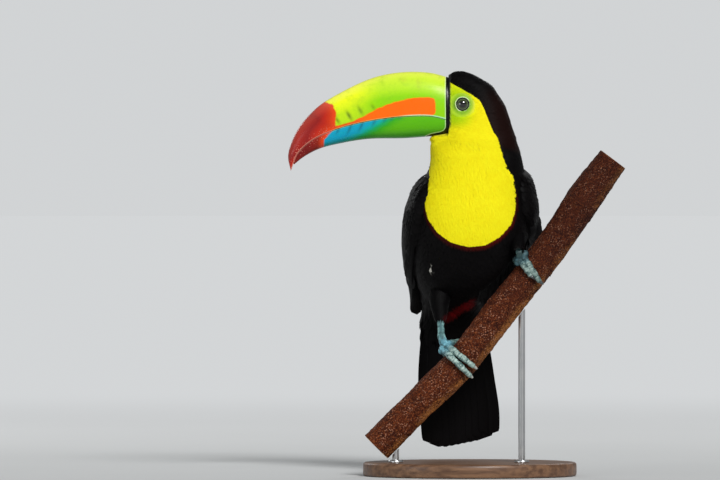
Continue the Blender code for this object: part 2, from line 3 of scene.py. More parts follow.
import bmesh
import bpy
import numpy as np
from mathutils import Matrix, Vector


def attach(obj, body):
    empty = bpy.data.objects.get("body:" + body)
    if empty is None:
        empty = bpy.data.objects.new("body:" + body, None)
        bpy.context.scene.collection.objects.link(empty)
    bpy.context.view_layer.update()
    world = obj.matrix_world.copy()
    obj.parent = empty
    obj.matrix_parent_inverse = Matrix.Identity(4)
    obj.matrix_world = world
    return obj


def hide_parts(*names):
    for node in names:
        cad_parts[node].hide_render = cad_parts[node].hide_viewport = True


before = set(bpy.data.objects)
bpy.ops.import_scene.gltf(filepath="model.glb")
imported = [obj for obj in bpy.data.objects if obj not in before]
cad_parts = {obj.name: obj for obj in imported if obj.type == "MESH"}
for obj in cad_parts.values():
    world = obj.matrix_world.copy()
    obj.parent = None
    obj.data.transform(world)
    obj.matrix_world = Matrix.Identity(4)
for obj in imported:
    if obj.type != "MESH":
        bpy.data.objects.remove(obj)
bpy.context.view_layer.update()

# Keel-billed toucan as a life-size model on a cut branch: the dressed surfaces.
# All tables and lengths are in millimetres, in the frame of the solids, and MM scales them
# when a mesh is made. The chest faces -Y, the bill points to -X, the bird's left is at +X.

MM = 0.001

# -------------------- shape tables of the bird

# Sections across the bird: the spine's x, y, z, then the reach to -X, +X, front and back
BODY_SECTIONS = (
    (-9.0, -8.0, 359.3, 0.0, 0.0, 0.0, 0.0),  # crown
    (-9.0, -8.0, 357.2, 10.0, 9.5, 8.0, 8.0),
    (-8.0, -8.0, 352.4, 19.0, 18.0, 14.5, 14.5),  # brow
    (-5.0, -8.0, 346.9, 24.0, 23.8, 18.0, 18.0),
    (-2.0, -8.0, 338.5, 27.0, 26.8, 20.5, 20.5),
    (1.0, -8.0, 330.0, 30.0, 29.3, 22.0, 22.0),  # eyes
    (3.5, -8.0, 319.7, 31.5, 30.6, 23.5, 23.5),
    (5.5, -8.0, 308.0, 33.5, 32.3, 25.0, 25.0),  # jaw
    (5.5, -8.0, 302.5, 40.0, 34.2, 26.0, 26.0),
    (4.5, -8.0, 297.0, 39.4, 36.8, 27.5, 27.5),  # throat
    (4.0, -7.5, 290.0, 39.2, 39.5, 29.0, 29.0),
    (5.0, -6.5, 278.0, 40.5, 41.5, 32.0, 32.0),  # neck
    (4.5, -4.5, 266.0, 43.5, 44.5, 37.0, 37.0),
    (3.0, -1.0, 252.0, 48.0, 48.5, 42.0, 41.0),  # shoulders
    (1.5, 4.0, 235.0, 51.0, 52.0, 46.0, 43.0),
    (0.0, 11.5, 215.0, 52.5, 53.0, 47.5, 43.0),  # breast
    (-2.0, 20.0, 197.0, 50.5, 51.0, 45.0, 41.0),
    (-5.0, 29.5, 180.0, 44.5, 44.5, 38.0, 34.0),  # belly
    (-8.5, 38.0, 165.0, 36.5, 36.5, 28.0, 27.0),
    (-11.0, 44.5, 152.0, 31.5, 30.5, 19.5, 18.5),  # vent
    (-12.5, 49.0, 140.0, 30.2, 28.0, 13.0, 12.5),
    (-13.0, 52.0, 128.0, 29.6, 27.0, 8.5, 8.0),  # tips of the coverts
    (-12.5, 55.0, 100.0, 27.0, 25.0, 5.0, 5.0),  # spine under the wing tips
)
BODY_SQUARENESS = 2.15
SPINE_PROBE = 3.0  # half the length over which the spine's direction is taken
BELLY_CLEARANCE = 25.5  # from the branch's axis to the belly
WING_CLEARANCE = 22.5  # from the branch's axis to a wing

# Bill, in the plane of the head's middle: x and z from the base to the tip
BILL_Y = -8.0
BILL_BASE_X = -19.6
BILL_SEAT_Z = 301.4
CULMEN = ((-19.6, 354.0), (-33.0, 357.6), (-50.0, 358.9), (-81.0, 355.1), (-112.0, 342.0),
          (-137.0, 326.1), (-157.2, 299.4), (-161.6, 282.8), (-159.3, 271.3))
MOUTH = ((-19.6, 316.3), (-33.0, 319.3), (-55.0, 319.5), (-89.0, 315.5), (-120.0, 307.5),
         (-140.4, 298.3), (-153.4, 286.2), (-159.1, 271.1))
JAW_LINE = ((-19.6, 303.2), (-33.0, 302.0), (-55.0, 300.3), (-95.0, 299.0), (-112.0, 296.2),
            (-137.0, 289.4), (-149.0, 282.6), (-156.1, 276.9))
BILL_HALF_WIDTH = ((0.0, 17.4), (0.25, 16.2), (0.5, 14.0), (0.7, 11.0), (0.85, 7.4), (0.95, 4.2),
                   (1.0, 1.4))
JAW_NARROWING = 0.94
JAW_SHARE = 0.96
BILL_ROUNDNESS = 2.3
MOUTH_GAP = 0.15  # half the parting between the mandibles

EYE_X = -6.7
EYE_Z = 330.2
EYE_RADIUS = 8.5
EYE_SIDE = 15.4  # from the head's middle plane to the ball's centre
EYE_OPENING = 6.1  # radius of the opening between the lids

BRANCH_Y = -12.0
BRANCH_AXIS = ((-83.0, 25.8), (-35.5, 73.7), (-14.2, 94.1), (29.8, 149.6), (73.7, 205.1),
               (106.0, 253.0), (127.0, 281.0))
BRANCH_RADII = (14.4, 14.6, 14.8, 14.8, 14.8, 15.4, 13.9)
BRANCH_WAVE = 0.35
BRANCH_WIDTH = 29.0
# Knots on the branch: distance along it, angle round it, width and height
BRANCH_KNOTS = ((285.0, 1.5, 7.0, 1.7), (292.0, -1.2, 5.0, 1.2), (60.0, 1.0, 6.0, 1.3),
                (160.0, 2.1, 5.0, 1.2), (32.0, 2.6, 5.0, 1.1), (250.0, 2.4, 4.0, 0.9))

# Folded wings: share from shoulder to tip, angles of the leading and trailing edges, thickness.
# WINGS: heights of shoulder and tip, and how far the leading edge is drawn back between them
WING_PROFILE = (
    (0.00, 78.0, 112.0, 1.0), (0.08, 64.0, 128.0, 6.0), (0.20, 60.0, 142.0, 8.5),
    (0.40, 63.0, 156.0, 9.0), (0.60, 71.0, 163.0, 8.6), (0.78, 82.0, 165.0, 6.5),
    (0.90, 96.0, 163.0, 4.0), (0.97, 112.0, 158.0, 2.4), (1.00, 126.0, 150.0, 1.4),
)
WING_EDGE = 0.9
WING_GAP = 0.9
WING_LIFT = 13.0
WING_LIFT_FROM = 0.5
FLIGHT_SINK = 1.9  # depth of the flight feathers under the solid wing's outside
COVERT_SINK = 1.5  # and of the coverts' roots
WINGS = {"right": (271.0, 137.0, 0.0), "left": (276.0, 130.0, 22.0)}
SIDE_SIGN = {"left": 1.0, "right": -1.0}

# Tail: height, middle x, middle y, half-width, thickness
TAIL_PROFILE = (
    (127.0, -13.4, 52.2, 29.2, 8.5), (110.0, -12.8, 54.5, 31.6, 6.0), (85.0, -11.5, 57.5, 34.2, 4.2),
    (55.0, -8.6, 60.5, 35.6, 3.2), (22.0, -7.5, 63.0, 34.0, 2.4),
)
TAIL_ARCH = 5.0
TAIL_TIP_Z = 23.5
TAIL_CORNER_RISE = 15.0
TAIL_LEAN = 6.5
TAIL_ROOT_Z = 137.0
TAIL_HALF_WIDTH = 34.0

# Legs. Places on the branch are a distance from its lower end and an angle round its axis; a toe
# is its root's place, its tip's place, and the degrees that its claw turns on
LEGS = {
    "right": {
        "thigh": ((-20.0, 18.0, 178.0), (-23.5, 3.0, 159.0), (-26.2, -9.2, 138.5)),
        "thigh_radii": (17.0, 13.5, 4.8),
        "shank_low": (-25.6, -13.0, 127.0),
        "pad": (107.0, 8.0),
        "toes": ((109.5, 12.0, 111.0, 124.0, 26.0), (104.5, 12.0, 103.0, 138.0, 26.0),
                 (109.5, 4.0, 124.0, -70.0, 26.0), (104.5, 4.0, 99.0, -112.0, 26.0)),
    },
    "left": {
        "thigh": ((30.0, 5.0, 222.0), (36.5, -10.0, 215.0), (42.0, -25.4, 203.6)),
        "thigh_radii": (15.0, 12.0, 5.2),
        "shank_low": (42.9, -26.6, 200.4),
        "pad": (212.0, 38.0),
        "toes": ((214.0, 41.0, 206.0, 122.0, 28.0), (210.0, 41.0, 205.0, 92.0, 24.0),
                 (214.0, 35.0, 215.5, -126.0, 30.0), (210.0, 35.0, 203.0, -84.0, 26.0)),
    },
}
TOE_RADIUS_ROOT = 3.1
TOE_RADIUS_TIP = 2.3
CLAW_RADIUS = 1.8
CLAW_TIP_RADIUS = 0.35
PAD_LENGTH = 8.5
PAD_HEIGHT = 4.2
FOOT_GAP = 0.75

BASE_LENGTH = 190.0
BASE_WIDTH = 150.0
BASE_HEIGHT = 12.0
ROD_PLACES = {"stand_rod_short": -66.0, "stand_rod_long": 46.0}

# -------------------- markings

# Edge of the yellow bib on the near side, x and z: from the brow down the chest and up again
BIB_EDGE = (
    (-19.3, 350.4), (-7.7, 344.0), (0.2, 339.2), (8.1, 334.2), (12.1, 326.6), (16.0, 316.7),
    (20.5, 306.0), (25.7, 297.0), (28.4, 285.6), (32.4, 273.1), (38.1, 266.3), (40.3, 249.4),
    (40.3, 236.9), (36.4, 223.3), (26.2, 212.0), (12.6, 205.1), (-1.0, 203.4), (-16.9, 207.4),
    (-29.3, 216.5), (-37.2, 227.8), (-40.4, 240.3), (-39.6, 253.9), (-36.0, 266.0),
)
# Its edge from there round the throat to the far cheek: spine height and angle in degrees
BIB_FAR_EDGE = ((275.0, -90.0), (283.0, -122.0), (290.0, -150.0), (297.0, -178.0), (306.0, -204.0))
CHEEK_POINTS = 6  # how many of BIB_EDGE's first points are mirrored on the far cheek

# Ovals on the bird: x and z of the middle, half width and half height
EYE_RING = (-8.2, 329.3, 11.4, 10.6)  # bare skin round the eye
GREEN_PATCH = (-13.5, 328.0, 15.0, 19.0)  # green of the face
FLANK_FLECK = (-35.0, 183.5, 1.7, 4.4)  # pale fleck on the right flank
SMUDGES = ((-60.0, 352.5, 3.2, 2.0), (-46.0, 348.5, 2.0, 4.5))
VENT_LINE = (-8.6, 146.6, 0.54)  # x, z and slope of the middle of the red band

# Closed outlines on the bill, x and z
ORANGE_PATCH = ((-31.2, 333.4), (-32.6, 335.4), (-35.5, 336.4), (-49.8, 335.9), (-66.8, 332.2),
                (-80.4, 327.2), (-91.7, 321.0), (-100.8, 316.5), (-105.7, 313.4), (-112.0, 311.9),
                (-121.0, 310.4), (-121.0, 308.4), (-112.0, 310.7), (-100.8, 313.9), (-91.7, 316.4),
                (-80.4, 318.6), (-66.8, 320.4), (-49.8, 321.3), (-35.5, 321.2), (-32.4, 322.0),
                (-31.0, 324.4))
RED_TIP = ((-134.5, 345.0), (-131.4, 332.5), (-127.0, 332.0), (-122.3, 329.6), (-119.2, 322.8),
           (-120.0, 314.9), (-119.0, 309.4), (-124.6, 304.7), (-129.6, 299.0), (-130.2, 294.5),
           (-130.5, 280.0), (-175.0, 260.0), (-175.0, 345.0))
BLACK_RIM = ((-14.0, 362.0), (-21.0, 353.6), (-21.2, 342.0), (-21.1, 325.0), (-21.0, 309.5),
             (-22.8, 306.4), (-26.5, 304.8), (-34.0, 303.4), (-38.5, 301.6), (-39.0, 290.0),
             (-5.0, 290.0), (-5.0, 362.0))
# Soft dark notches beside the mouth: x, height from the mouth line, half height, depth of tone
NOTCH_PLACES_UPPER = ((-117.7, 7.0, 3.6, 0.8), (-107.5, 8.4, 4.2, 1.0), (-97.6, 10.6, 4.0, 0.7),
                      (-86.3, 11.4, 2.6, 0.55), (-120.0, 1.5, 1.8, 0.6), (-111.0, 1.2, 1.4, 0.35))
NOTCH_PLACES_LOWER = ((-117.4, 1.8, 2.6, 0.8), (-106.8, 3.0, 4.6, 0.95), (-96.6, 3.0, 4.2, 0.95),
                      (-85.2, 2.2, 3.2, 0.8), (-75.8, 1.2, 2.6, 0.7), (-69.4, 0.8, 2.0, 0.6),
                      (-62.0, 0.6, 1.6, 0.45))
# Every mask of a feather that is black all over
PLAIN_BLACK = {"bib": -40.0, "eye_gap": 99.0, "vent": 0.0, "rump": 0.0, "green": 0.0, "nape": 0.0,
               "hem": 0.0, "rim": 0.0}
SEED = 41


# -------------------- curves, noise, distances

def unit(vectors):
    return vectors / np.maximum(np.linalg.norm(vectors, axis=-1, keepdims=True), 1e-9)


def dot(a, b):
    return (a * b).sum(axis=-1)


def turns(count):
    """Angles of a full circle in even steps."""
    return np.linspace(0.0, 2 * math.pi, count, endpoint=False)


def ease(value, low, high):
    """0 below low, 1 above high, and 3t^2 - 2t^3 between them."""
    t = np.clip((np.asarray(value, dtype=float) - low) / (high - low), 0.0, 1.0)
    return t * t * (3 - 2 * t)


def signed_power(value, power):
    return np.sign(value) * np.abs(value) ** power


def oval_reach(points, oval):
    """Distance from an oval's middle in x and z, 1 on its edge."""
    x, z, wide, tall = oval
    return np.hypot((points[..., 0] - x) / wide, (points[..., 2] - z) / tall)


def line_lengths(lines):
    """Length of each line of points."""
    return np.linalg.norm(np.diff(lines, axis=1), axis=-1).sum(axis=1)


def smooth_curve(knots, values, at):
    """Cubic curve through values at the knots, with central differences as its slopes."""
    knots = np.asarray(knots, dtype=float)
    values = np.asarray(values, dtype=float)
    slopes = np.gradient(values, knots, axis=0)
    at = np.clip(np.asarray(at, dtype=float), knots[0], knots[-1])
    index = np.clip(np.searchsorted(knots, at, side="right") - 1, 0, len(knots) - 2)
    step = knots[index + 1] - knots[index]
    t = (at - knots[index]) / step
    if values.ndim > 1:
        t = t[..., None]
        step = step[..., None]
    near = values[index] * (1 + 2 * t) * (1 - t) ** 2 + values[index + 1] * t ** 2 * (3 - 2 * t)
    return near + step * t * (1 - t) * (slopes[index] * (1 - t) - slopes[index + 1] * t)


def chord_knots(points):
    """Distance along a list of points, from the first one."""
    steps = np.linalg.norm(np.diff(np.asarray(points, dtype=float), axis=0), axis=1)
    return np.concatenate(([0.0], np.cumsum(steps)))


def even_curve(points, share):
    """Point of the smooth curve through a list of points, at a share of its length."""
    knots = chord_knots(points)
    return smooth_curve(knots, points, np.asarray(share) * knots[-1])


def corner_value(cell, seed):
    """Repeatable number from 0 to 1 for each lattice corner, mixed from its whole coordinates."""
    mixed = (cell * np.array((73856093, 19349663, 83492791))).sum(axis=-1) + seed * 40503
    mixed = (mixed ^ (mixed >> 13)) & 0x7FFFFFFF
    mixed = (mixed * 1274126177) & 0x7FFFFFFF
    return ((mixed ^ (mixed >> 15)) % 10007) / 10006.0


def soft_noise(points, size, seed=SEED):
    """Noise from 0 to 1: values on a lattice of cells of a size, eased between its corners."""
    grid = np.asarray(points, dtype=float) / size
    cell = np.floor(grid).astype(np.int64)
    t = grid - cell
    t = t * t * (3 - 2 * t)
    total = 0.0
    for corner in range(8):
        offset = np.array((corner & 1, (corner >> 1) & 1, (corner >> 2) & 1))
        weight = np.prod(np.where(offset == 1, t, 1 - t), axis=-1)
        total = total + weight * corner_value(cell + offset, seed)
    return total


def layered_noise(points, size, seed, layers=4):
    """Sum of soft noises, each half as large and half as strong as the one before."""
    strengths = 0.5 ** np.arange(layers)
    parts = [strength * soft_noise(points, size * strength, seed + number)
             for number, strength in enumerate(strengths)]
    return sum(parts) / strengths.sum()


def depth_inside(points, outline):
    """Distance from a closed outline in a plane, positive inside it.

    The least distance to its sides, with the sign from the number of sides that a ray crosses.
    """
    outline = np.asarray(outline, dtype=float)
    points = np.asarray(points, dtype=float)
    flat = points.reshape(-1, 2)
    side = np.roll(outline, -1, axis=0) - outline
    nearest = np.full(len(flat), 1e9)
    crossings = np.zeros(len(flat), dtype=int)
    for corner, step in zip(outline, side):
        offset = flat - corner
        t = np.clip(offset @ step / max(step @ step, 1e-9), 0.0, 1.0)
        nearest = np.minimum(nearest, np.linalg.norm(offset - t[:, None] * step, axis=1))
        spans = (flat[:, 1] >= corner[1]) != (flat[:, 1] >= corner[1] + step[1])
        rise = step[1] if abs(step[1]) > 1e-9 else 1e-9
        crossings += spans & (flat[:, 0] < corner[0] + (flat[:, 1] - corner[1]) * step[0] / rise)
    return np.where(crossings % 2 == 1, nearest, -nearest).reshape(points.shape[:-1])


# -------------------- body, wings, tail, branch

def body_table():
    """Knots and rows of BODY_SECTIONS, with a row mirrored over the crown to round it off."""
    rows = np.array(BODY_SECTIONS)
    over_crown = rows[1] * np.array((1, 1, 1, -1, -1, -1, -1))
    knots = chord_knots(np.column_stack((rows[:, 2], rows[:, 3:].mean(axis=1))))
    return np.concatenate(([-knots[1]], knots)), np.vstack((over_crown, rows))


BODY_KNOTS, BODY_ROWS = body_table()


def spine_place(height):
    """Distance along the body's table at which the spine is at a height."""
    fine = np.linspace(0.0, BODY_KNOTS[-1], 2000)
    heights = smooth_curve(BODY_KNOTS, BODY_ROWS, fine)[:, 2]
    return np.interp(-np.asarray(height, dtype=float), -heights, fine)


def spine_point(place):
    return smooth_curve(BODY_KNOTS, BODY_ROWS[:, :3], place)


def spine_height(place):
    return spine_point(place)[..., 2]


def spine_tangent(behind, ahead):
    """Unit direction of the spine in y and z between two places on it."""
    low, high = [smooth_curve(BODY_KNOTS, BODY_ROWS[:, 1:3], place) for place in (behind, ahead)]
    return unit(high - low)


def branch_length():
    return float(chord_knots(BRANCH_AXIS)[-1])


def branch_axis_point(distance):
    """Point of the branch's axis at a distance from its lower end."""
    flat = smooth_curve(chord_knots(BRANCH_AXIS), BRANCH_AXIS, distance)
    return np.stack((flat[..., 0], np.full(flat.shape[:-1], BRANCH_Y), flat[..., 1]), axis=-1)


def branch_radius(distance):
    return smooth_curve(chord_knots(BRANCH_AXIS), BRANCH_RADII, distance)


def branch_directions(distance, angle):
    """Unit directions along the branch, and out from its axis at an angle round it."""
    distance = np.asarray(distance, dtype=float)
    along = unit(branch_axis_point(distance + 1.0) - branch_axis_point(distance - 1.0))
    belly_side = np.stack((-along[..., 2], np.zeros_like(distance), along[..., 0]), axis=-1)
    out = np.cos(angle)[..., None] * belly_side + np.sin(angle)[..., None] * np.array((0.0, -1.0, 0.0))
    return along, out


def round_branch(distance, angle, radius):
    """Point at a radius from the branch's axis; angle 0 faces the belly, 90 degrees -Y."""
    out = branch_directions(distance, angle)[1]
    return branch_axis_point(distance) + out * np.asarray(radius)[..., None]


def clear_of_branch(points, clearance):
    """Points nearer to the branch's axis than the clearance, moved straight out to it."""
    flat = points.reshape(-1, 3)
    room = np.broadcast_to(clearance, points.shape[:-1]).reshape(-1)
    near = np.flatnonzero((flat[:, 2] < 290.0) & (np.abs(flat[:, 1] - BRANCH_Y) < 40.0))
    if len(near) == 0:
        return points
    axis = branch_axis_point(np.linspace(0.0, branch_length(), 240))
    offsets = flat[near, None, :] - axis
    nearest = np.argmin((offsets ** 2).sum(axis=-1), axis=-1)
    away = flat[near] - axis[nearest]
    distance = np.linalg.norm(away, axis=-1)
    push = np.maximum(room[near] - distance, 0.0) / distance
    moved = flat.copy()
    moved[near] += away * push[:, None]
    return moved.reshape(points.shape)


def body_shape(place, angle, grow=0.0):
    """Point of the body's surface, grown outwards, at a place on the spine and an angle.

    A section is a superellipse across the spine: x = cx + reach * sin(a)^p, and the same
    power of cos(a) times the front or back reach along the section's forward direction. Just
    under the bill the throat narrows towards the mandible.
    """
    place = np.asarray(place, dtype=float)
    angle = np.asarray(angle, dtype=float)
    row = smooth_curve(BODY_KNOTS, BODY_ROWS, place)
    tangent = spine_tangent(np.maximum(place - SPINE_PROBE, 0.0),
                            np.minimum(place + SPINE_PROBE, BODY_KNOTS[-1]))
    sine = np.sin(angle)
    cosine = np.cos(angle)
    side_reach = np.where(sine > 0, row[..., 4], row[..., 3]) + grow
    deep_reach = np.where(cosine > 0, row[..., 5], row[..., 6]) + grow
    across = side_reach * signed_power(sine, 2.0 / BODY_SQUARENESS)
    forward = deep_reach * signed_power(cosine, 2.0 / BODY_SQUARENESS)
    x = row[..., 0] + across
    y = row[..., 1] + forward * tangent[..., 1]
    z = row[..., 2] - forward * tangent[..., 0]
    tuck = ease(z, 288.0, 302.5) * (1 - ease(z, 303.5, 308.0)) * ease(-x, 8.0, 30.0)
    y = BILL_Y + (y - BILL_Y) * (1 - 0.22 * tuck)
    return clear_of_branch(np.stack((x, y, z), axis=-1), BELLY_CLEARANCE - grow)


def wing_ends(side):
    """Places on the spine of a folded wing's shoulder and tip."""
    return spine_place(WINGS[side][0]), spine_place(WINGS[side][1])


def wing_section(side, share, chord):
    """Leading edge and spread in degrees, gap under the wing and thickness, at points of a wing.

    The gap widens towards the tip by a power of the share, and the thickness follows
    (4 * chord * (1 - chord)) ^ 0.55, a lens with blunt edges.
    """
    profile = np.array(WING_PROFILE)
    row = smooth_curve(profile[:, 0], profile[:, 1:], share)
    leading = row[..., 0] + WINGS[side][2] * np.sin(math.pi * np.clip(share * 1.25 - 0.2, 0.0, 1.0)) ** 2
    lens = np.maximum(4 * chord * (1 - chord), 0.0) ** 0.55
    lift = WING_LIFT * (np.maximum(share - WING_LIFT_FROM, 0.0) / (1 - WING_LIFT_FROM)) ** 1.6
    thickness = WING_EDGE + np.maximum(row[..., 2] - WING_EDGE, 0.1) * lens
    return leading, row[..., 1] - leading, WING_GAP + lift, thickness


def wing_shape(side, share, chord, extra=0.0):
    """Point of a folded wing: share from shoulder to tip, chord from leading to trailing edge.

    It is the outside, which stands off the body by a gap and a lens-shaped thickness; extra is a
    further height over that in millimetres.
    """
    share = np.asarray(share, dtype=float)
    leading, spread, gap, thickness = wing_section(side, share, chord)
    first, last = wing_ends(side)
    grow = thickness + extra
    angle = SIDE_SIGN[side] * np.radians(leading + spread * chord)
    points = body_shape(first + (last - first) * share, angle, gap + grow)
    return clear_of_branch(points, WING_CLEARANCE + grow)


def tail_tip_height(across):
    corner = TAIL_CORNER_RISE * np.abs(across) ** 5
    return TAIL_TIP_Z + corner + TAIL_LEAN * np.maximum(across + 0.55, 0.0)


def tail_shape(height, across):
    """Middle surface of the tail at a height, from -1 to 1 across it: an arched fan."""
    profile = np.array(TAIL_PROFILE)
    row = smooth_curve(-profile[:, 0], profile[:, 1:], -np.asarray(height, dtype=float))
    spread = np.clip((127.0 - height) / 26.0, 0.0, 1.0)
    x = row[..., 0] + across * row[..., 2]
    y = row[..., 1] - TAIL_ARCH * across ** 2 * spread
    return np.stack((x, y, height + 0 * across), axis=-1)


# -------------------- meshes

def add_piece(name, points, faces, sharp=40.0, outwards=True):
    """Object from points in millimetres and blocks of faces, each block an array of corners."""
    mesh = bpy.data.meshes.new(name)
    points = np.asarray(points, dtype=np.float64).reshape(-1, 3) * MM
    corners = np.concatenate([np.asarray(block).ravel() for block in faces]).astype(np.int32)
    sizes = np.concatenate([np.full(len(block), np.shape(block)[1]) for block in faces])
    mesh.vertices.add(len(points))
    mesh.vertices.foreach_set("co", points.astype(np.float32).ravel())
    mesh.loops.add(len(corners))
    mesh.loops.foreach_set("vertex_index", corners)
    mesh.polygons.add(len(sizes))
    mesh.polygons.foreach_set("loop_start", np.concatenate(([0], np.cumsum(sizes)[:-1])).astype(np.int32))
    mesh.update(calc_edges=True)
    if outwards:
        work = bmesh.new()
        work.from_mesh(mesh)
        bmesh.ops.recalc_face_normals(work, faces=work.faces)
        work.to_mesh(mesh)
        work.free()
    mesh.shade_smooth()
    mesh.set_sharp_from_angle(angle=math.radians(sharp))
    obj = bpy.data.objects.new(name, mesh)
    bpy.context.scene.collection.objects.link(obj)
    return obj


def net_quads(rows, wide, closed=True, looped=False):
    """Quads of a net of points, row after row.

    closed joins the last point of each row to its first, and looped the last row to the first.
    """
    row, column = np.meshgrid(np.arange(rows if looped else rows - 1),
                              np.arange(wide if closed else wide - 1), indexing="ij")
    below, after = (row + 1) % rows, (column + 1) % wide
    return np.stack((row * wide + column, row * wide + after,
                     below * wide + after, below * wide + column), axis=-1).reshape(-1, 4)


def tube_faces(rings, sides, first):
    """Quads between neighbouring rings of points, and a fan that closes each end.

    The two middle points of the ends come straight after the rings.
    """
    turn = np.arange(sides)
    following = (turn + 1) % sides
    last = (rings - 1) * sides
    low = np.column_stack((following, turn, np.full(sides, rings * sides)))
    high = np.column_stack((last + turn, last + following, np.full(sides, rings * sides + 1)))
    return [net_quads(rings, sides) + first, np.vstack((low, high)) + first]


def tube_points(rings):
    """The rings' points with the middle of the first and of the last ring after them."""
    return np.vstack((rings.reshape(-1, 3), rings[0].mean(axis=0), rings[-1].mean(axis=0)))


def add_tubes(name, tubes, sharp=40.0):
    """One object from several closed tubes of rings."""
    points = [tube_points(rings) for rings in tubes]
    firsts = np.cumsum([0] + [len(block) for block in points])
    faces = zip(*(tube_faces(*rings.shape[:2], first) for rings, first in zip(tubes, firsts)))
    return add_piece(name, np.vstack(points), [np.vstack(block) for block in faces], sharp)


PIPE_START = (0.17, 0.93, 0.31)  # direction across which the rings of a pipe start


def pipe_rings(path, radii, sides, across=PIPE_START):
    """Rings of a round tube carried along a path, with one radius for each of its points."""
    path = np.asarray(path, dtype=float)
    along = unit(np.gradient(path, axis=0))
    side = unit(np.cross(along, across))
    other = np.cross(along, side)
    turn = turns(sides)[None, :, None]
    circle = np.cos(turn) * side[:, None] + np.sin(turn) * other[:, None]
    return path[:, None] + circle * np.asarray(radii, dtype=float)[:, None, None]


def mesh_points(obj):
    """The object's points in millimetres."""
    flat = np.empty(len(obj.data.vertices) * 3, dtype=np.float32)
    obj.data.vertices.foreach_get("co", flat)
    return flat.reshape(-1, 3).astype(float) / MM


def give_values(obj, **values):
    """One named float attribute on the points for each keyword."""
    count = len(obj.data.vertices)
    for name, value in values.items():
        layer = obj.data.attributes.new(name, "FLOAT", "POINT")
        layer.data.foreach_set("value", np.broadcast_to(value, count).astype(np.float32))


def with_ends(values, low=0.0, high=0.0):
    """A tube's values in the order of its points: those of its rings, then of its two ends."""
    return np.append(values.ravel(), (low, high))


def give_bake_map(obj, places):
    """UV map OFBake from one place for each point of the mesh."""
    layer = obj.data.uv_layers.new(name="OFBake")
    corners = np.empty(len(obj.data.loops), dtype=np.int32)
    obj.data.loops.foreach_get("vertex_index", corners)
    layer.uv.foreach_set("vector", places[corners].astype(np.float32).ravel())


def dress(obj, material, slot, *nodes):
    """Gives a piece its material, and says which solids it stands for; slot is not used."""
    obj.data.materials.append(material)
    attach(obj, "root")
    if nodes:
        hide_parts(*nodes)
    return obj


# -------------------- markings on the body

def wrapped(angle):
    """Angle round the body between -270 and 90 degrees, so that the nape is where it parts."""
    return (np.asarray(angle) + 1.5 * math.pi) % (2 * math.pi) - 1.5 * math.pi


UNROLL = 40.0  # millimetres on the body for one radian round it


def trace_front(edge):
    """Place and angle of the front-facing body points that lie at each x and z of a list."""
    place = np.linspace(0.5, float(spine_place(190.0)), 420)
    angle = np.radians(np.linspace(-92.0, 92.0, 300))
    points = body_shape(place[:, None], angle[None, :])[..., (0, 2)]
    found = [np.unravel_index(np.argmin(((points - spot) ** 2).sum(axis=-1)), points.shape[:2])
             for spot in np.asarray(edge, dtype=float)]
    rows, columns = np.array(found).T
    return place[rows], angle[columns]


def bib_outline():
    """Closed outline of the bib on the unrolled body: angle times UNROLL, and place."""
    place, angle = trace_front(BIB_EDGE)
    far = np.array(BIB_FAR_EDGE)
    cheek = slice(CHEEK_POINTS - 1, None, -1)
    places = np.concatenate((place, spine_place(far[:, 0]), place[cheek]))
    angles = np.concatenate((angle, np.radians(far[:, 1]), -math.pi - angle[cheek]))
    return np.column_stack((angles * UNROLL, places))


BIB_OUTLINE = bib_outline()


def rim_edge(height):
    """How far back the black rim of the bill reaches over the face, rounded off at its foot."""
    return -17.5 - 2.6 * (1 - ease(height, 303.0, 312.0))


def eye_distance(points):
    """Distance from the axis through both eyes."""
    return oval_reach(points, (EYE_X, EYE_Z, 1.0, 1.0))


def bird_marks(place, angle, points):
    """Every mask that colours skin and feathers alike, at places on the body.

    bib: millimetres inside the yellow bib. eye_gap: distance from the nearer eye's middle. The
    others go from 0 to 1: vent, a sloping red band over the branch, below which the red coverts
    are left black as painted shade; rump, the coverts above the tail, with one pale fleck on the
    right flank; rim, the black rim of the bill; green, between bill and eye and under the eye;
    nape, maroon behind the head; hem, red under the bib.
    """
    x, y, z = np.moveaxis(points, -1, 0)
    forward = np.cos(angle)
    # Red only in a band over the branch; the red coverts below it are left black: painted shade.
    under = z - VENT_LINE[1] - VENT_LINE[2] * (x - VENT_LINE[0])
    vent = (ease(under, -6.0, -2.0) * (1 - ease(under, 2.0, 5.0)) * ease(x, -27.0, -12.0)
            * (1 - ease(x, 1.0, 7.0)) * ease(forward, 0.1, 0.4) * (z < 190.0))
    rump = (1 - ease(spine_height(place), 149.0, 160.0)) * ease(-forward, 0.1, 0.5)
    fleck = (1 - ease(oval_reach(points, FLANK_FLECK), 0.6, 1.0)) * ease(forward, 0.0, 0.2)
    on_head = ease(z, 275.0, 300.0)
    on_nape = ease(z, 150.0, 250.0) * ease(x * on_head + y * (1 - on_head), 4.0, 26.0)
    return {
        "bib": depth_inside(np.stack((wrapped(angle) * UNROLL, place), axis=-1), BIB_OUTLINE),
        "eye_gap": eye_distance(points) + 60.0 * (1 - ease(z, 305.0, 312.0)),
        "vent": vent,
        "rump": np.maximum(rump, 0.7 * fleck),
        "rim": (1 - ease(x - rim_edge(z), -0.4, 0.3)) * ease(z, 302.2, 302.7),
        "green": (1 - ease(oval_reach(points, GREEN_PATCH), 0.4, 1.5)) * ease(z, 305.0, 315.0),
        "nape": 0.75 * on_nape * (1 - ease(z, 335.0, 350.0)),
        "hem": ease(-z, -262.0, -228.0) * (0.55 + 0.45 * ease(x, -20.0, 20.0)),
    }


def coat_depth(place, points):
    """How far the skin lies inside the outline: thin on the face, none on the bare eye ring."""
    full = 0.75 + 0.85 * ease(place, float(spine_place(318.0)), float(spine_place(262.0)))
    bare = 1 - ease(eye_oval(points), 0.92, 1.12)
    return full * (1 - bare) + 0.25 * bare


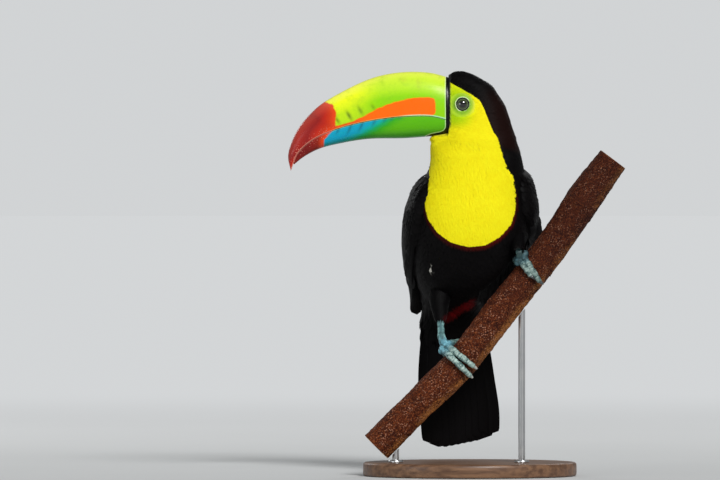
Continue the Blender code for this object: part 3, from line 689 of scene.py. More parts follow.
def eye_oval(points):
    """1 on the edge of the bare patch round each eye, less inside it."""
    return oval_reach(points, EYE_RING) + 9.0 * (1 - ease(np.abs(points[..., 1] - BILL_Y), 9.0, 12.0))


# -------------------- feathers

BEND_REACH = 3.0  # over which the surface's bend is measured
BEND_LIMITS = (-0.012, 0.05)  # least and greatest bend that a feather follows, in 1 / mm

# Forms of feathers: share along and width of each row, and the places across it
SMALL_FEATHER = {"rows": ((0.0, 0.5), (0.35, 1.0), (0.72, 0.78), (0.92, 0.34)), "columns": (-1.0, 0.0, 1.0)}
MID_FEATHER = {"rows": ((0.0, 0.35), (0.3, 0.9), (0.62, 1.0), (0.86, 0.72)), "columns": (-1.0, 0.0, 1.0)}
BROAD_FEATHER = {"rows": ((0.0, 0.3), (0.2, 0.8), (0.45, 1.0), (0.7, 0.98), (0.88, 0.72), (0.96, 0.4)),
                 "columns": (-1.0, -0.5, 0.0, 0.5, 1.0)}


def feather_form(form):
    """Along, across and ridge of a feather's points, and its faces.

    Rows of points run across it and end in one tip point. The top is a shallow roof that is
    highest on the shaft, the underside is flat, and the root is closed.
    """
    rows = np.array(form["rows"])
    columns = np.array(form["columns"])
    wide = len(columns)
    along = np.append(np.repeat(rows[:, 0], wide), 1.0)
    across = np.append((rows[:, 1:] * columns).ravel(), 0.0)
    ridge = np.append(np.tile(1 - np.abs(columns) ** 1.6, len(rows)), 0.35)
    top = net_quads(len(rows), wide, closed=False)
    edge = np.arange(len(rows) - 1) * wide
    under = np.stack((edge, edge + wide, edge + 2 * wide - 1, edge + wide - 1), axis=-1)
    last = (len(rows) - 1) * wide
    tip = len(rows) * wide
    ends = [(last + k, last + k + 1, tip) for k in range(wide - 1)]
    ends.append((last, tip, last + wide - 1))
    ends += [(0, k + 1, k) for k in range(1, wide - 1)]
    return along, across, ridge, np.vstack((top, under)), np.array(ends)


def surface_frame(shape, u, v, step_u, step_v, sign=1.0):
    """Point, normal and slopes of a surface shape(u, v), from central differences."""
    here = shape(u, v)
    slope_u = (shape(u + step_u, v) - shape(u - step_u, v)) / (2 * step_u)
    slope_v = (shape(u, v + step_v) - shape(u, v - step_v)) / (2 * step_v)
    return {"point": here, "normal": sign * unit(np.cross(slope_u, slope_v)),
            "slope_u": slope_u, "slope_v": slope_v}


def steps_along(spot, direction, reach):
    """Changes of u and v that move a point along a tangent direction, from the two slopes."""
    a = dot(spot["slope_u"], spot["slope_u"])
    b = dot(spot["slope_u"], spot["slope_v"])
    c = dot(spot["slope_v"], spot["slope_v"])
    p = dot(direction, spot["slope_u"])
    q = dot(direction, spot["slope_v"])
    size = np.maximum(a * c - b * b, 1e-6)
    return reach * (p * c - q * b) / size, reach * (q * a - p * b) / size


def bend_along(shape, u, v, spot, direction):
    """Curvature of a surface along a tangent direction, from its second difference."""
    du, dv = steps_along(spot, direction, BEND_REACH)
    ahead = shape(u + du, v + dv)
    behind = shape(u - du, v - dv)
    return np.clip(-dot(ahead + behind - 2 * spot["point"], spot["normal"]) / BEND_REACH ** 2, *BEND_LIMITS)


def plant(name, shape, u, v, lie, sizes, steps, marks, bake, form, material, slot, seed, sign=1.0):
    """One piece of many feathers rooted on a surface.

    A feather's point is its root plus along * lie plus across * side plus a height. The height
    starts under the surface, rises towards the tip and falls away with the surface's bend. The
    colour masks are taken row by row along each feather, so an edge between colours is even.
    sizes holds length, width, depth of the root, rise to the tip and thickness.
    """
    spot = surface_frame(shape, u, v, steps[0], steps[1], sign)
    dice = np.random.default_rng(SEED + seed)
    count = len(u)
    flat_lie = unit(lie(spot) - spot["normal"] * dot(lie(spot), spot["normal"])[:, None])
    side = np.cross(flat_lie, spot["normal"])
    swing = dice.normal(0.0, 0.09, count)[:, None]
    flat_lie = unit(flat_lie + side * swing)
    side = np.cross(flat_lie, spot["normal"])
    bend_lie = bend_along(shape, u, v, spot, flat_lie)
    bend_side = bend_along(shape, u, v, spot, side)
    length, width, depth, rise, thick = [np.broadcast_to(size, count).astype(float) for size in sizes]
    length = length * dice.uniform(0.86, 1.12, count)
    width = width * dice.uniform(0.9, 1.1, count)
    rise = rise * dice.uniform(0.8, 1.15, count)
    roll = dice.normal(0.0, 0.05, count)
    along, across, ridge, quads, ends = feather_form(form)
    run = along * length[:, None]
    off = across * width[:, None] / 2
    height = (rise[:, None] * along ** 0.8 - depth[:, None] + ridge * thick[:, None]
              - 0.5 * (bend_lie[:, None] * run ** 2 + bend_side[:, None] * off ** 2)
              + roll[:, None] * off)
    points = (spot["point"][:, None] + run[..., None] * flat_lie[:, None]
              + off[..., None] * side[:, None] + height[..., None] * spot["normal"][:, None])
    offset = (np.arange(count) * len(along))[:, None, None]
    piece = add_piece(name, points, [(quads + offset).reshape(-1, 4), (ends + offset).reshape(-1, 3)],
                      sharp=55.0, outwards=False)
    spread = len(along)
    values = {}
    for reach in np.unique(along):
        du, dv = steps_along(spot, flat_lie, reach * length)
        shown = spot["point"] + flat_lie * (reach * length)[:, None]
        for key, mark in marks(u + du, v + dv, shown).items():
            values.setdefault(key, np.zeros((count, spread)))[:, along == reach] = mark[:, None]
    values = {key: mark.ravel() for key, mark in values.items()}
    values["tone"] = np.repeat(dice.uniform(0.0, 1.0, count), spread)
    values["along"] = np.tile(along, count)
    values["across"] = np.tile(across, count)
    give_values(piece, **values)
    low, high = bake
    root = np.column_stack(((v - low[0]) / (high[0] - low[0]), (u - low[1]) / (high[1] - low[1])))
    root = 0.02 + 0.96 * np.clip(root, 0.0, 1.0)
    patch = np.column_stack((across * 0.0015, (along - 0.5) * 0.003 - 0.0005 * ridge))
    give_bake_map(piece, (root[:, None] + patch).reshape(-1, 2))
    return dress(piece, material, slot)


def staggered(numbers):
    """Row and column of every feather, from the count in each row; odd rows are half a step on."""
    row = np.repeat(np.arange(len(numbers)), numbers)
    return row, np.arange(len(row)) - np.repeat(np.cumsum(numbers) - numbers, numbers) + 0.5 * (row % 2)


def rows_round_body(top, bottom, along_gap, across_gap, seed):
    """Staggered rows of places and angles between two spine heights, evenly spaced on the skin."""
    dice = np.random.default_rng(SEED + seed)
    first, last = float(spine_place(top)), float(spine_place(bottom))
    count = int((last - first) / along_gap)
    places = first + (np.arange(count) + 0.5) * (last - first) / count
    ring = body_shape(places[:, None], np.linspace(0, 2 * math.pi, 73)[None, :])
    numbers = np.maximum((line_lengths(ring) / across_gap).astype(int), 5)
    row, column = staggered(numbers)
    angle = 2 * math.pi * (column + dice.uniform(-0.22, 0.22, len(row))) / numbers[row]
    place = places[row] + dice.uniform(-0.22, 0.22, len(row)) * along_gap
    return place, angle


def head_lie(spot):
    """Feathers stream back from the bill over the head and down the neck and body."""
    point = spot["point"]
    back = unit(point - np.array((-34.0, BILL_Y, 326.0)))
    down = unit(spot["slope_u"])
    share = ease(point[..., 2], 276.0, 306.0)[..., None]
    return unit(back) * share + down * (1 - share)


# -------------------- nodes

def operators(operation):
    """What an arithmetic sign does with a Value on its left, and with one on its right."""
    return (lambda value, other: calc(operation, value, other),
            lambda value, other: calc(operation, other, value))


class Value:
    """One output of a shader node. Arithmetic on it adds a Math node to the same tree."""

    __add__, __radd__ = operators("ADD")
    __sub__, __rsub__ = operators("SUBTRACT")
    __mul__, __rmul__ = operators("MULTIPLY")
    __truediv__, __rtruediv__ = operators("DIVIDE")

    def __init__(self, socket):
        self.socket = socket
        self.tree = socket.id_data


def connect(node, inputs):
    """Links each Value to its input of a node, and sets the plain inputs."""
    for key, value in inputs.items():
        if isinstance(value, Value):
            value.tree.links.new(value.socket, node.inputs[key])
        else:
            node.inputs[key].default_value = value


def feed(node, **inputs):
    connect(node, {key.replace("_", " "): value for key, value in inputs.items()})


def put(tree, kind, inputs=None, output=0, **settings):
    """Adds a node with its settings and inputs, linked or plain, and returns one output."""
    made = tree.nodes.new("ShaderNode" + kind)
    for key, value in settings.items():
        setattr(made, key, value)
    connect(made, inputs or {})
    return Value(made.outputs[output])


def calc(operation, first, second=0.0):
    tree = (first if isinstance(first, Value) else second).tree
    return put(tree, "Math", {0: first, 1: second}, operation=operation)


def clamped(value):
    """The same value, kept from 0 to 1 by its Math node."""
    value.socket.node.use_clamp = True
    return value


def blend(share, first, second):
    """Colour that goes from the first to the second one."""
    first, second = [(*colour, 1.0) if isinstance(colour, tuple) else colour for colour in (first, second)]
    return put(share.tree, "Mix", {0: share, 6: first, 7: second}, output=2, data_type="RGBA")


def overlaid(colour, *layers):
    """Colour with further ones laid over it in turn, each as far as its mask says."""
    for mask, over in layers:
        colour = blend(mask, colour, over)
    return colour


def between(value, low, high):
    """0 below low, 1 above high, eased in between."""
    return put(value.tree, "MapRange", {"Value": value, "From Min": low, "From Max": high},
               interpolation_type="SMOOTHSTEP")


def read(tree, name):
    return put(tree, "Attribute", output="Fac", attribute_name=name)


def own_place(tree):
    """A point's place in its object's own coordinates."""
    return put(tree, "TexCoord", output="Object")


def ramp(value, *stops):
    """Colour ramp through pairs of a place and a colour."""
    made = value.tree.nodes.new("ShaderNodeValToRGB")
    connect(made, {0: value})
    elements = made.color_ramp.elements
    while len(elements) < len(stops):
        elements.new(0.5)
    for element, (place, colour) in zip(elements, stops):
        element.position = place
        element.color = (*colour, 1.0)
    return Value(made.outputs[0])


def noise(tree, scale, detail, stretch=(1.0, 1.0, 1.0), roughness=0.55):
    """Noise on the object's own coordinates, with cells of 1 / scale metres."""
    place = put(tree, "Mapping", {"Vector": own_place(tree), "Scale": stretch})
    return put(tree, "TexNoise", {"Vector": place, "Scale": scale, "Detail": detail, "Roughness": roughness})


def cells(tree, scale, feature="F1"):
    """Distance in a net of irregular cells of 1 / scale metres: from the middle or the edge."""
    inputs = {"Vector": own_place(tree), "Scale": scale}
    return put(tree, "TexVoronoi", inputs, output="Distance", feature=feature)


def bump(height, depth, strength):
    """Fine relief of a depth in millimetres."""
    return put(height.tree, "Bump", {"Height": height, "Strength": strength, "Distance": depth * MM})


def new_material(name, **constants):
    """Material with its shader's plain values set, and its tree."""
    material = bpy.data.materials.new(name)
    material.use_nodes = True
    return shaded(material, **constants), material.node_tree


def shaded(material, **inputs):
    """The same material with inputs of its shader fed."""
    feed(material.node_tree.nodes["Principled BSDF"], **inputs)
    return material


def new_group(name, inputs, outputs):
    """Node group: its tree, its float inputs by name, and the node that puts out its results."""
    tree = bpy.data.node_groups.new(name, "ShaderNodeTree")
    for socket, value in inputs.items():
        made = tree.interface.new_socket(name=socket, in_out="INPUT", socket_type="NodeSocketFloat")
        made.default_value = value
    for socket, kind in outputs.items():
        tree.interface.new_socket(name=socket, in_out="OUTPUT", socket_type="NodeSocket" + kind)
    given = tree.nodes.new("NodeGroupInput").outputs
    return tree, {key: Value(given[key]) for key in inputs}, tree.nodes.new("NodeGroupOutput")


def use_group(tree, name, **inputs):
    """Outputs by name of a node group that is used in a tree."""
    made = tree.nodes.new("ShaderNodeGroup")
    made.node_tree = bpy.data.node_groups[name]
    feed(made, **inputs)
    return {socket.name: Value(socket) for socket in made.outputs}


def clouds(tree, size, amount):
    """Cloudy change of tone about 0.5, with patches of a size in millimetres."""
    return use_group(tree, "mottle", Size=size, Amount=amount)["Value"]


def make_mottle():
    """Group for cloudy changes of tone: two noises of different size, mixed about 0.5."""
    tree, given, result = new_group("mottle", {"Size": 4.0, "Amount": 1.0}, {"Value": "Float"})
    scale = 1.0 / MM / given["Size"]
    place = own_place(tree)
    coarse = put(tree, "TexNoise", {"Vector": place, "Scale": scale, "Detail": 3.0})
    fine = put(tree, "TexNoise", {"Vector": place, "Scale": scale * 3.7, "Detail": 2.0})
    feed(result, Value=(coarse + fine - 1.0) * given["Amount"] + 0.5)


def make_barbs():
    """Group for the fine barbs that slant from the shaft of a feather, and the shaft itself; its Shade also
    rises from a feather's root to its tip, for painted shade and highlight on black feathers.
    """
    tree, given, result = new_group("feather_barbs", {"Count": 30.0, "Slant": 6.0},
                                    {"Height": "Float", "Shade": "Float"})
    along = read(tree, "along")
    off = calc("ABSOLUTE", read(tree, "across"))
    wave = calc("SINE", (along * given["Count"] - off * given["Slant"]) * (2 * math.pi))
    feed(result, Height=wave * 0.3 + (1.0 - between(off, 0.03, 0.12)),
         Shade=wave * 0.06 + between(along, 0.1, 1.0))


def make_markings():
    """Group for the colour of plumage and of the skin under it, from the masks both carry."""
    tree, given, result = new_group("bird_markings", {"Shade": 0.5}, {"Colour": "Color", "Bright": "Float"})
    tone = read(tree, "tone")
    warm = clamped(tone * 0.35 + clouds(tree, 9.0, 1.2) * 0.5)
    near_eye = 1.0 - between(read(tree, "eye_gap"), 7.2, 11.5)
    face = overlaid(blend(warm, YELLOW, YELLOW_DEEP), (read(tree, "green"), FACE_GREEN),
                    (near_eye * 0.8, EYE_GREEN))
    bib = read(tree, "bib")
    rump = read(tree, "rump")
    # Black feathers darker at the root, where the next row covers them, and lighter towards the tip: painted
    # shade and painted highlight.
    lift = clamped(given["Shade"] * (tone * 0.6 + 0.5))
    dark = overlaid(blend(lift, BLACK_FEATHER, BLACK_TIP), (read(tree, "nape"), NAPE_MAROON),
                    (between(bib, -4.6, -0.8) * read(tree, "hem"), HEM_RED),
                    (read(tree, "vent"), blend(tone, VENT_RED, VENT_DEEP)), (rump, RUMP_WHITE))
    inside = between(bib, -0.25, 0.25) * (1.0 - read(tree, "rim"))
    feed(result, Colour=blend(inside, dark, face), Bright=calc("MAXIMUM", inside, rump))


# -------------------- materials

YELLOW = (0.90, 0.83, 0.012)
YELLOW_DEEP = (0.84, 0.70, 0.005)
FACE_GREEN = (0.45, 0.70, 0.006)
EYE_GREEN = (0.20, 0.46, 0.006)
BLACK_FEATHER = (0.0015, 0.0013, 0.0015)
# Black at a feather's tip, lighter than at its root: painted highlight.
BLACK_TIP = (0.0032, 0.0027, 0.0029)
NAPE_MAROON = (0.012, 0.0034, 0.0024)
HEM_RED = (0.060, 0.0028, 0.0020)
VENT_RED = (0.20, 0.005, 0.007)
VENT_DEEP = (0.08, 0.002, 0.003)
RUMP_WHITE = (0.72, 0.70, 0.62)
BACKDROP = (0.640, 0.655, 0.665)
BLACK = (0.0, 0.0, 0.0)


def plumage_material(name, barb_count, depth):
    """Feathers: the shared markings, barbs as a fine bump, softer gloss on the bright ones."""
    material, tree = new_material(name, Specular_IOR_Level=0.045)
    vane = use_group(tree, "feather_barbs", Count=barb_count, Slant=barb_count * 0.25)
    marks = use_group(tree, "bird_markings", Shade=vane["Shade"])
    return shaded(material, Base_Color=marks["Colour"], Roughness=0.46 + marks["Bright"] * 0.26,
                  Normal=bump(vane["Height"], depth, 0.5))


def skin_material():
    """Bare skin: the same markings, fine pores, and folds that ring the eye, with painted shade in their
    troughs.
    """
    material, tree = new_material("bare_skin", Specular_IOR_Level=0.4)
    marks = use_group(tree, "bird_markings", Shade=0.4)
    pores = noise(tree, 1400.0, 3.0)
    gap = read(tree, "eye_gap")
    rings = calc("SINE", (gap + noise(tree, 260.0, 2.0) * 2.6) * 5.6)
    folds = rings * (1.0 - between(gap, 8.5, 12.5))
    # Darker green in the troughs of the folds: painted shade; the cloudy part is the skin's own tone.
    deep = (between(folds, -0.2, -1.0) * 0.25 + clouds(tree, 2.2, 1.4) * 0.22) * marks["Bright"]
    return shaded(material, Base_Color=blend(deep, marks["Colour"], (0.12, 0.26, 0.01)),
                  Normal=bump(folds * 0.55 + pores, 0.16, 0.8), Roughness=0.42 + pores * 0.2)


def horn_base(name):
    """Glossy horn: start of each bill material, with faint growth lines along the bill."""
    material, tree = new_material(name, Specular_IOR_Level=0.16, Coat_Weight=0.14, Coat_Roughness=0.2)
    lines = noise(tree, 420.0, 3.0, stretch=(0.18, 1.0, 1.0))
    cloud = clouds(tree, 14.0, 1.3)
    height = lines + read(tree, "notch") * -1.2
    shaded(material, Roughness=0.24 + cloud * 0.14, Normal=bump(height, 0.16, 0.55))
    return material, tree, lines, cloud


def tip_and_rim(tree, colour, cloud, deep):
    """Lays the red tip, with a painted pink sheen where rise is high, the pale line and the black rim of the
    bill over its colour.

    deep is how far the red is darkened away from the tip's edge; the larger value given for the lower
    mandible is painted shade.
    """
    red, lip, rim = read(tree, "red"), read(tree, "lip"), read(tree, "rim")
    crimson = ramp(between(red, -1.0, 34.0), (0.0, (0.72, 0.055, 0.006)), (0.2, (0.55, 0.022, 0.008)),
                   (0.42, (0.30, 0.014, 0.012)), (0.7, (0.40, 0.016, 0.008)), (1.0, (0.60, 0.03, 0.01)))
    line = 1.0 - between(lip, 0.25, 0.75)
    specks = (1.0 - between(cells(tree, 620.0), 0.16, 0.26)) * (1.0 - between(lip, 1.5, 6.5))
    # Pink over the part of the red where rise is high: painted sheen.
    crimson = overlaid(crimson, (between(read(tree, "rise"), 0.55, 1.0) * 0.5, (0.58, 0.12, 0.09)),
                       # Darker away from the tip's edge by deep; the lower mandible's larger deep is painted
                       # shade.
                       (between(red, 0.5, 6.0) * deep, (0.13, 0.006, 0.006)),
                       (calc("MAXIMUM", line * 0.6, specks * 0.75), (0.78, 0.30, 0.22)))
    pale = between(rim, -1.5, -1.0) * (1.0 - between(rim, -0.8, -0.5))
    wavy = red + (cloud - 0.5) * 1.6
    return overlaid(colour, (line * 0.5, (0.30, 0.55, 0.22)), (between(wavy, -1.0, 0.8), crimson),
                    (pale * 0.65, (0.74, 0.86, 0.55)), (between(rim, -0.75, -0.3), (0.003, 0.003, 0.003)))


def upper_bill_material():
    """Lime upper mandible with a yellow ridge that is lightened further as painted highlight, a painted
    highlight along its crest, the orange patch and dark notches.
    """
    material, tree, lines, cloud = horn_base("upper_bill_horn")
    rise, front, lip = read(tree, "rise"), read(tree, "front"), read(tree, "lip")
    # Lighter towards the top, where rise nears 1: partly the ridge's own yellow, partly painted highlight.
    green = ramp(rise, (0.0, (0.26, 0.58, 0.004)), (0.45, (0.25, 0.62, 0.004)), (0.62, (0.42, 0.72, 0.012)),
                 (0.84, (0.56, 0.78, 0.035)), (1.0, (0.74, 0.82, 0.08)))
    yellow = ramp(rise, (0.0, (0.40, 0.66, 0.01)), (0.4, (0.50, 0.74, 0.008)), (0.75, (0.80, 0.86, 0.012)),
                  (1.0, (0.86, 0.88, 0.10)))
    orange = blend(between(front, 0.0, 0.9), (0.98, 0.135, 0.002), (0.84, 0.12, 0.004))
    edge = read(tree, "orange") + (lines - 0.5) * 2.4
    band = (1.0 - between(lip, 1.6, 3.2)) * between(front, 0.55, 0.9)
    seam = (1.0 - between(lip, 0.8, 1.3)) * read(tree, "rear")
    colour = overlaid(blend(front, green, yellow), (clamped((cloud - 0.5) * 0.6), (0.20, 0.46, 0.006)),
                      (read(tree, "smudge") * 0.5, (0.30, 0.25, 0.05)), (between(edge, -0.9, 0.7), orange),
                      (band, (0.80, 0.085, 0.003)), (seam * 0.7, (0.42, 0.84, 0.55)),
                      # The notch mask also darkens the faces inside the mouth: painted shade in the slit.
                      (read(tree, "notch") * 0.8, (0.045, 0.085, 0.004)),
                      # Pale line along the crest: painted highlight.
                      (between(rise, 0.985, 0.998) * 0.5, (0.90, 0.92, 0.42)))
    return shaded(material, Base_Color=tip_and_rim(tree, colour, cloud, 0.25))


def lower_bill_material():
    """Lower mandible: green at the base, blue towards the front, with dark notches; its underside and a line
    along the keel are darkened as painted shade.
    """
    material, tree, lines, cloud = horn_base("lower_bill_horn")
    blue = read(tree, "blue") + (lines - 0.5) * 0.25
    rise = read(tree, "rise")
    colour = ramp(blue, (0.0, (0.10, 0.44, 0.002)), (0.35, (0.035, 0.37, 0.010)), (0.6, (0.006, 0.36, 0.10)),
                  (0.82, (0.002, 0.38, 0.36)), (1.0, (0.002, 0.33, 0.50)))
    # Darker green over the underside and a dark line near the keel: painted shade.
    colour = overlaid(colour, (between(rise, 0.55, 0.95) * 0.5, (0.015, 0.22, 0.04)),
                      (between(rise, 0.955, 0.985) * 0.7, (0.002, 0.10, 0.09)),
                      # The notch mask also darkens the faces inside the mouth: painted shade in the slit.
                      (read(tree, "notch") * 0.7, (0.006, 0.09, 0.13)))
    # 0.75: the lower mandible's red is darkened more, as painted shade.
    return shaded(material, Base_Color=tip_and_rim(tree, colour, cloud, 0.75))


def eye_material():
    """Wet eye: black pupil, olive iris with fine mottling, a pale ring, a dark rim and green skin."""
    material, tree = new_material("eye_gloss", Roughness=0.08, Coat_Weight=1.0, Coat_Roughness=0.02)
    reach = read(tree, "reach")
    iris = blend(noise(tree, 2600.0, 2.0), (0.012, 0.022, 0.004), (0.055, 0.075, 0.014))
    colour = blend(between(reach, 2.8, 3.1), (0.001, 0.001, 0.001), iris)
    return shaded(material, Base_Color=overlaid(colour, (between(reach, 4.2, 4.4), (0.13, 0.18, 0.08)),
                                                (between(reach, 4.55, 4.75), (0.002, 0.003, 0.002)),
                                                (between(reach, 6.15, 6.3), (0.30, 0.52, 0.05))))


def lid_material():
    """Pale green lid with fine pores."""
    material, tree = new_material("eyelid_skin", Specular_IOR_Level=0.45)
    cloud = clouds(tree, 0.9, 1.6)
    return shaded(material, Base_Color=blend(cloud, (0.68, 0.82, 0.42), (0.42, 0.64, 0.20)),
                  Normal=bump(noise(tree, 2200.0, 2.0), 0.1, 0.8), Roughness=0.3 + cloud * 0.2)


def foot_material():
    """Turquoise scaly skin: teal shank, blue pad, paler toes, a pale dusting on the scutes mixed with
    painted highlight, creases darkened as painted shade, and a painted shadow over the left foot.
    """
    material, tree = new_material("foot_scutes", Specular_IOR_Level=0.4)
    cloud = clouds(tree, 3.0, 1.5)
    # Darker along the scale outlines and in the creases: painted shade.
    crease = 1.0 - between(cells(tree, 900.0, "DISTANCE_TO_EDGE"), 0.0, 0.12)
    dark = calc("MAXIMUM", read(tree, "crease"), crease * 0.5)
    patches = noise(tree, 300.0, 4.0, roughness=0.65)
    part = read(tree, "toe")
    base = ramp(part, (0.0, (0.055, 0.15, 0.155)), (0.3, (0.12, 0.34, 0.42)), (1.0, (0.17, 0.29, 0.25)))
    # Pale dusting on the scutes, mixed with painted highlight on their tops and on the shank's sides.
    dust_and_highlight_colour = ramp(part, (0.0, (0.33, 0.60, 0.58)), (0.3, (0.26, 0.58, 0.68)), (1.0, (0.62, 0.78, 0.72)))
    dust_and_highlight = read(tree, "worn") * between(patches, 0.38, 0.62)
    colour = overlaid(base, (1.0 - between(patches, 0.32, 0.58), (0.035, 0.085, 0.090)),
                      (dust_and_highlight * 0.85, dust_and_highlight_colour), (dark * 0.6, (0.016, 0.042, 0.048)),
                      # Darker over the left foot, which lies under the belly: painted shadow.
                      (read(tree, "dusk"), (0.012, 0.026, 0.026)))
    return shaded(material, Base_Color=colour, Normal=bump(cloud * 0.3 - dark, 0.22, 0.7),
                  Roughness=0.42 + cloud * 0.2)


def claw_material(name, root, tip_dark, tip_light):
    """Horn claw that changes from its root's colour to its tip's."""
    material, tree = new_material(name, Specular_IOR_Level=0.5, Coat_Weight=0.3, Coat_Roughness=0.15)
    cloud = clouds(tree, 1.2, 1.5)
    colour = blend(between(read(tree, "along"), 0.0, 0.6), root, blend(cloud, tip_dark, tip_light))
    return shaded(material, Base_Color=colour, Normal=bump(cloud, 0.08, 0.6), Roughness=0.22 + cloud * 0.25)


def bark_material():
    """Rough red-brown bark: dark pits that are partly painted shade in the hollows, ochre flakes, pale
    grains, a tan lower edge that is painted highlight broken up like wear, darker far up.
    """
    material, tree = new_material("bark", Specular_IOR_Level=0.12)
    grit = noise(tree, 1200.0, 5.0, roughness=0.75)
    flakes = noise(tree, 620.0, 5.0, roughness=0.8)
    # Darker where the grit is low, which is also where the bump sinks: partly the bark's own dark pits,
    # partly painted shade in them.
    pits = between(grit, 0.43, 0.57)
    patchy = noise(tree, 45.0, 3.0) + (flakes - 0.5) * 0.9
    # Tan patches along the branch's lower edge, where light falls on it: painted highlight, broken up like
    # wear.
    worn = read(tree, "edge") * between(patchy, 0.42, 0.58)
    tan = blend(pits, (0.10, 0.024, 0.006), (0.78, 0.31, 0.08))
    grains = (1.0 - between(cells(tree, 560.0), 0.22, 0.42)) * between(noise(tree, 130.0, 3.0), 0.44, 0.6)
    colour = overlaid(blend(pits, (0.004, 0.001, 0.001), (0.135, 0.027, 0.008)),
                      (between(clouds(tree, 16.0, 1.6), 0.45, 0.9) * 0.75, (0.024, 0.005, 0.003)),
                      (between(flakes, 0.53, 0.60) * 0.6, (0.36, 0.105, 0.032)), (worn * 0.85, tan),
                      (grains * 0.8, (0.50, 0.23, 0.14)),
                      (between(read(tree, "far"), 0.35, 0.85) * 0.5, (0.020, 0.004, 0.003)))
    return shaded(material, Base_Color=colour, Normal=bump(grit + (flakes + grains) * 0.8, 1.1, 0.9),
                  Roughness=0.68 + grit * 0.25)


def cut_wood_material():
    """Sawn end of the branch: growth rings round the pith."""
    material, tree = new_material("cut_wood", Specular_IOR_Level=0.25)
    ring = calc("SINE", (read(tree, "ring") + noise(tree, 300.0, 2.0) * 1.2) * 4.6)
    cloud = clouds(tree, 5.0, 1.2)
    colour = overlaid(blend(between(ring, -0.6, 0.9), (0.42, 0.26, 0.13), (0.26, 0.13, 0.06)),
                      (cloud * 0.4, (0.16, 0.075, 0.035)))
    return shaded(material, Base_Color=colour, Normal=bump(ring, 0.15, 0.5), Roughness=0.62 + cloud * 0.2)


def base_material():
    """Oiled dark wood with its grain along the base."""
    material, tree = new_material("base_wood", Specular_IOR_Level=0.4, Coat_Weight=0.15, Coat_Roughness=0.25)
    grain = noise(tree, 260.0, 5.0, stretch=(0.07, 1.0, 1.0))
    pores = noise(tree, 1600.0, 2.0, stretch=(0.04, 1.0, 1.0))
    colour = overlaid(blend(between(grain, 0.3, 0.7), (0.085, 0.040, 0.020), (0.22, 0.115, 0.058)),
                      (between(pores, 0.55, 0.7) * 0.6, (0.035, 0.016, 0.009)),
                      (clouds(tree, 30.0, 1.3) * 0.3, (0.12, 0.05, 0.025)))
    return shaded(material, Base_Color=colour, Normal=bump(grain - pores, 0.12, 0.5),
                  Roughness=0.34 + grain * 0.2)


def steel_material():
    """Brushed steel, with the brush marks round the rod."""
    material, tree = new_material("rod_steel", Metallic=1.0)
    brushed = noise(tree, 1500.0, 3.0, stretch=(0.15, 0.15, 3.0))
    colour = blend(clouds(tree, 20.0, 1.0), (0.50, 0.51, 0.52), (0.62, 0.62, 0.61))
    return shaded(material, Base_Color=colour, Normal=bump(brushed, 0.05, 0.4),
                  Roughness=0.24 + brushed * 0.16)


def floor_material():
    """Plain pale floor with the faintest unevenness, which fades into the backdrop far away."""
    material, tree = new_material("studio_floor", Specular_IOR_Level=0.1, Roughness=0.9,
                                  Emission_Strength=1.0)
    colour = blend(noise(tree, 3.0, 2.0), (0.56, 0.57, 0.57), (0.60, 0.61, 0.61))
    distance = put(tree, "VectorMath", {0: own_place(tree)}, output=1, operation="LENGTH")
    apart = between(distance, 0.5, 2.6)
    return shaded(material, Base_Color=blend(apart, colour, BLACK),
                  Emission_Color=blend(apart, BLACK, BACKDROP))


# -------------------- skin

def crowded(low, high, count, spots, width, extra):
    """Numbers from low to high that stand closer together round each spot.

    Their density is 1 + extra * exp(-((x - spot) / width)^2), integrated and turned round.
    """
    fine = np.linspace(low, high, 4000)
    density = np.ones_like(fine)
    for spot in spots:
        density += extra * np.exp(-((fine - spot) / width) ** 2)
    total = np.concatenate(([0.0], np.cumsum((density[1:] + density[:-1]) / 2)))
    return np.interp(np.linspace(0.0, total[-1], count), total, fine)


def ball_depth(reach):
    """Depth of the eyeball's surface from the head's middle plane, at a distance from its axis."""
    return EYE_SIDE + np.sqrt(EYE_RADIUS ** 2 - np.minimum(reach, EYE_RADIUS - 0.05) ** 2)


def round_the_ball(points):
    """Depth of skin points, lowered under the open eye and raised over the ball round it."""
    depth = np.abs(points[..., 1] - BILL_Y)
    reach = eye_distance(points)
    ball = ball_depth(reach)
    wrapped_over = np.where(reach < EYE_RADIUS - 0.3, np.maximum(depth, ball + 0.14), depth)
    shaped = np.where(reach < EYE_OPENING + 0.15, np.minimum(depth, ball - 0.7), wrapped_over)
    return np.where(depth > 10.0, shaped, depth)


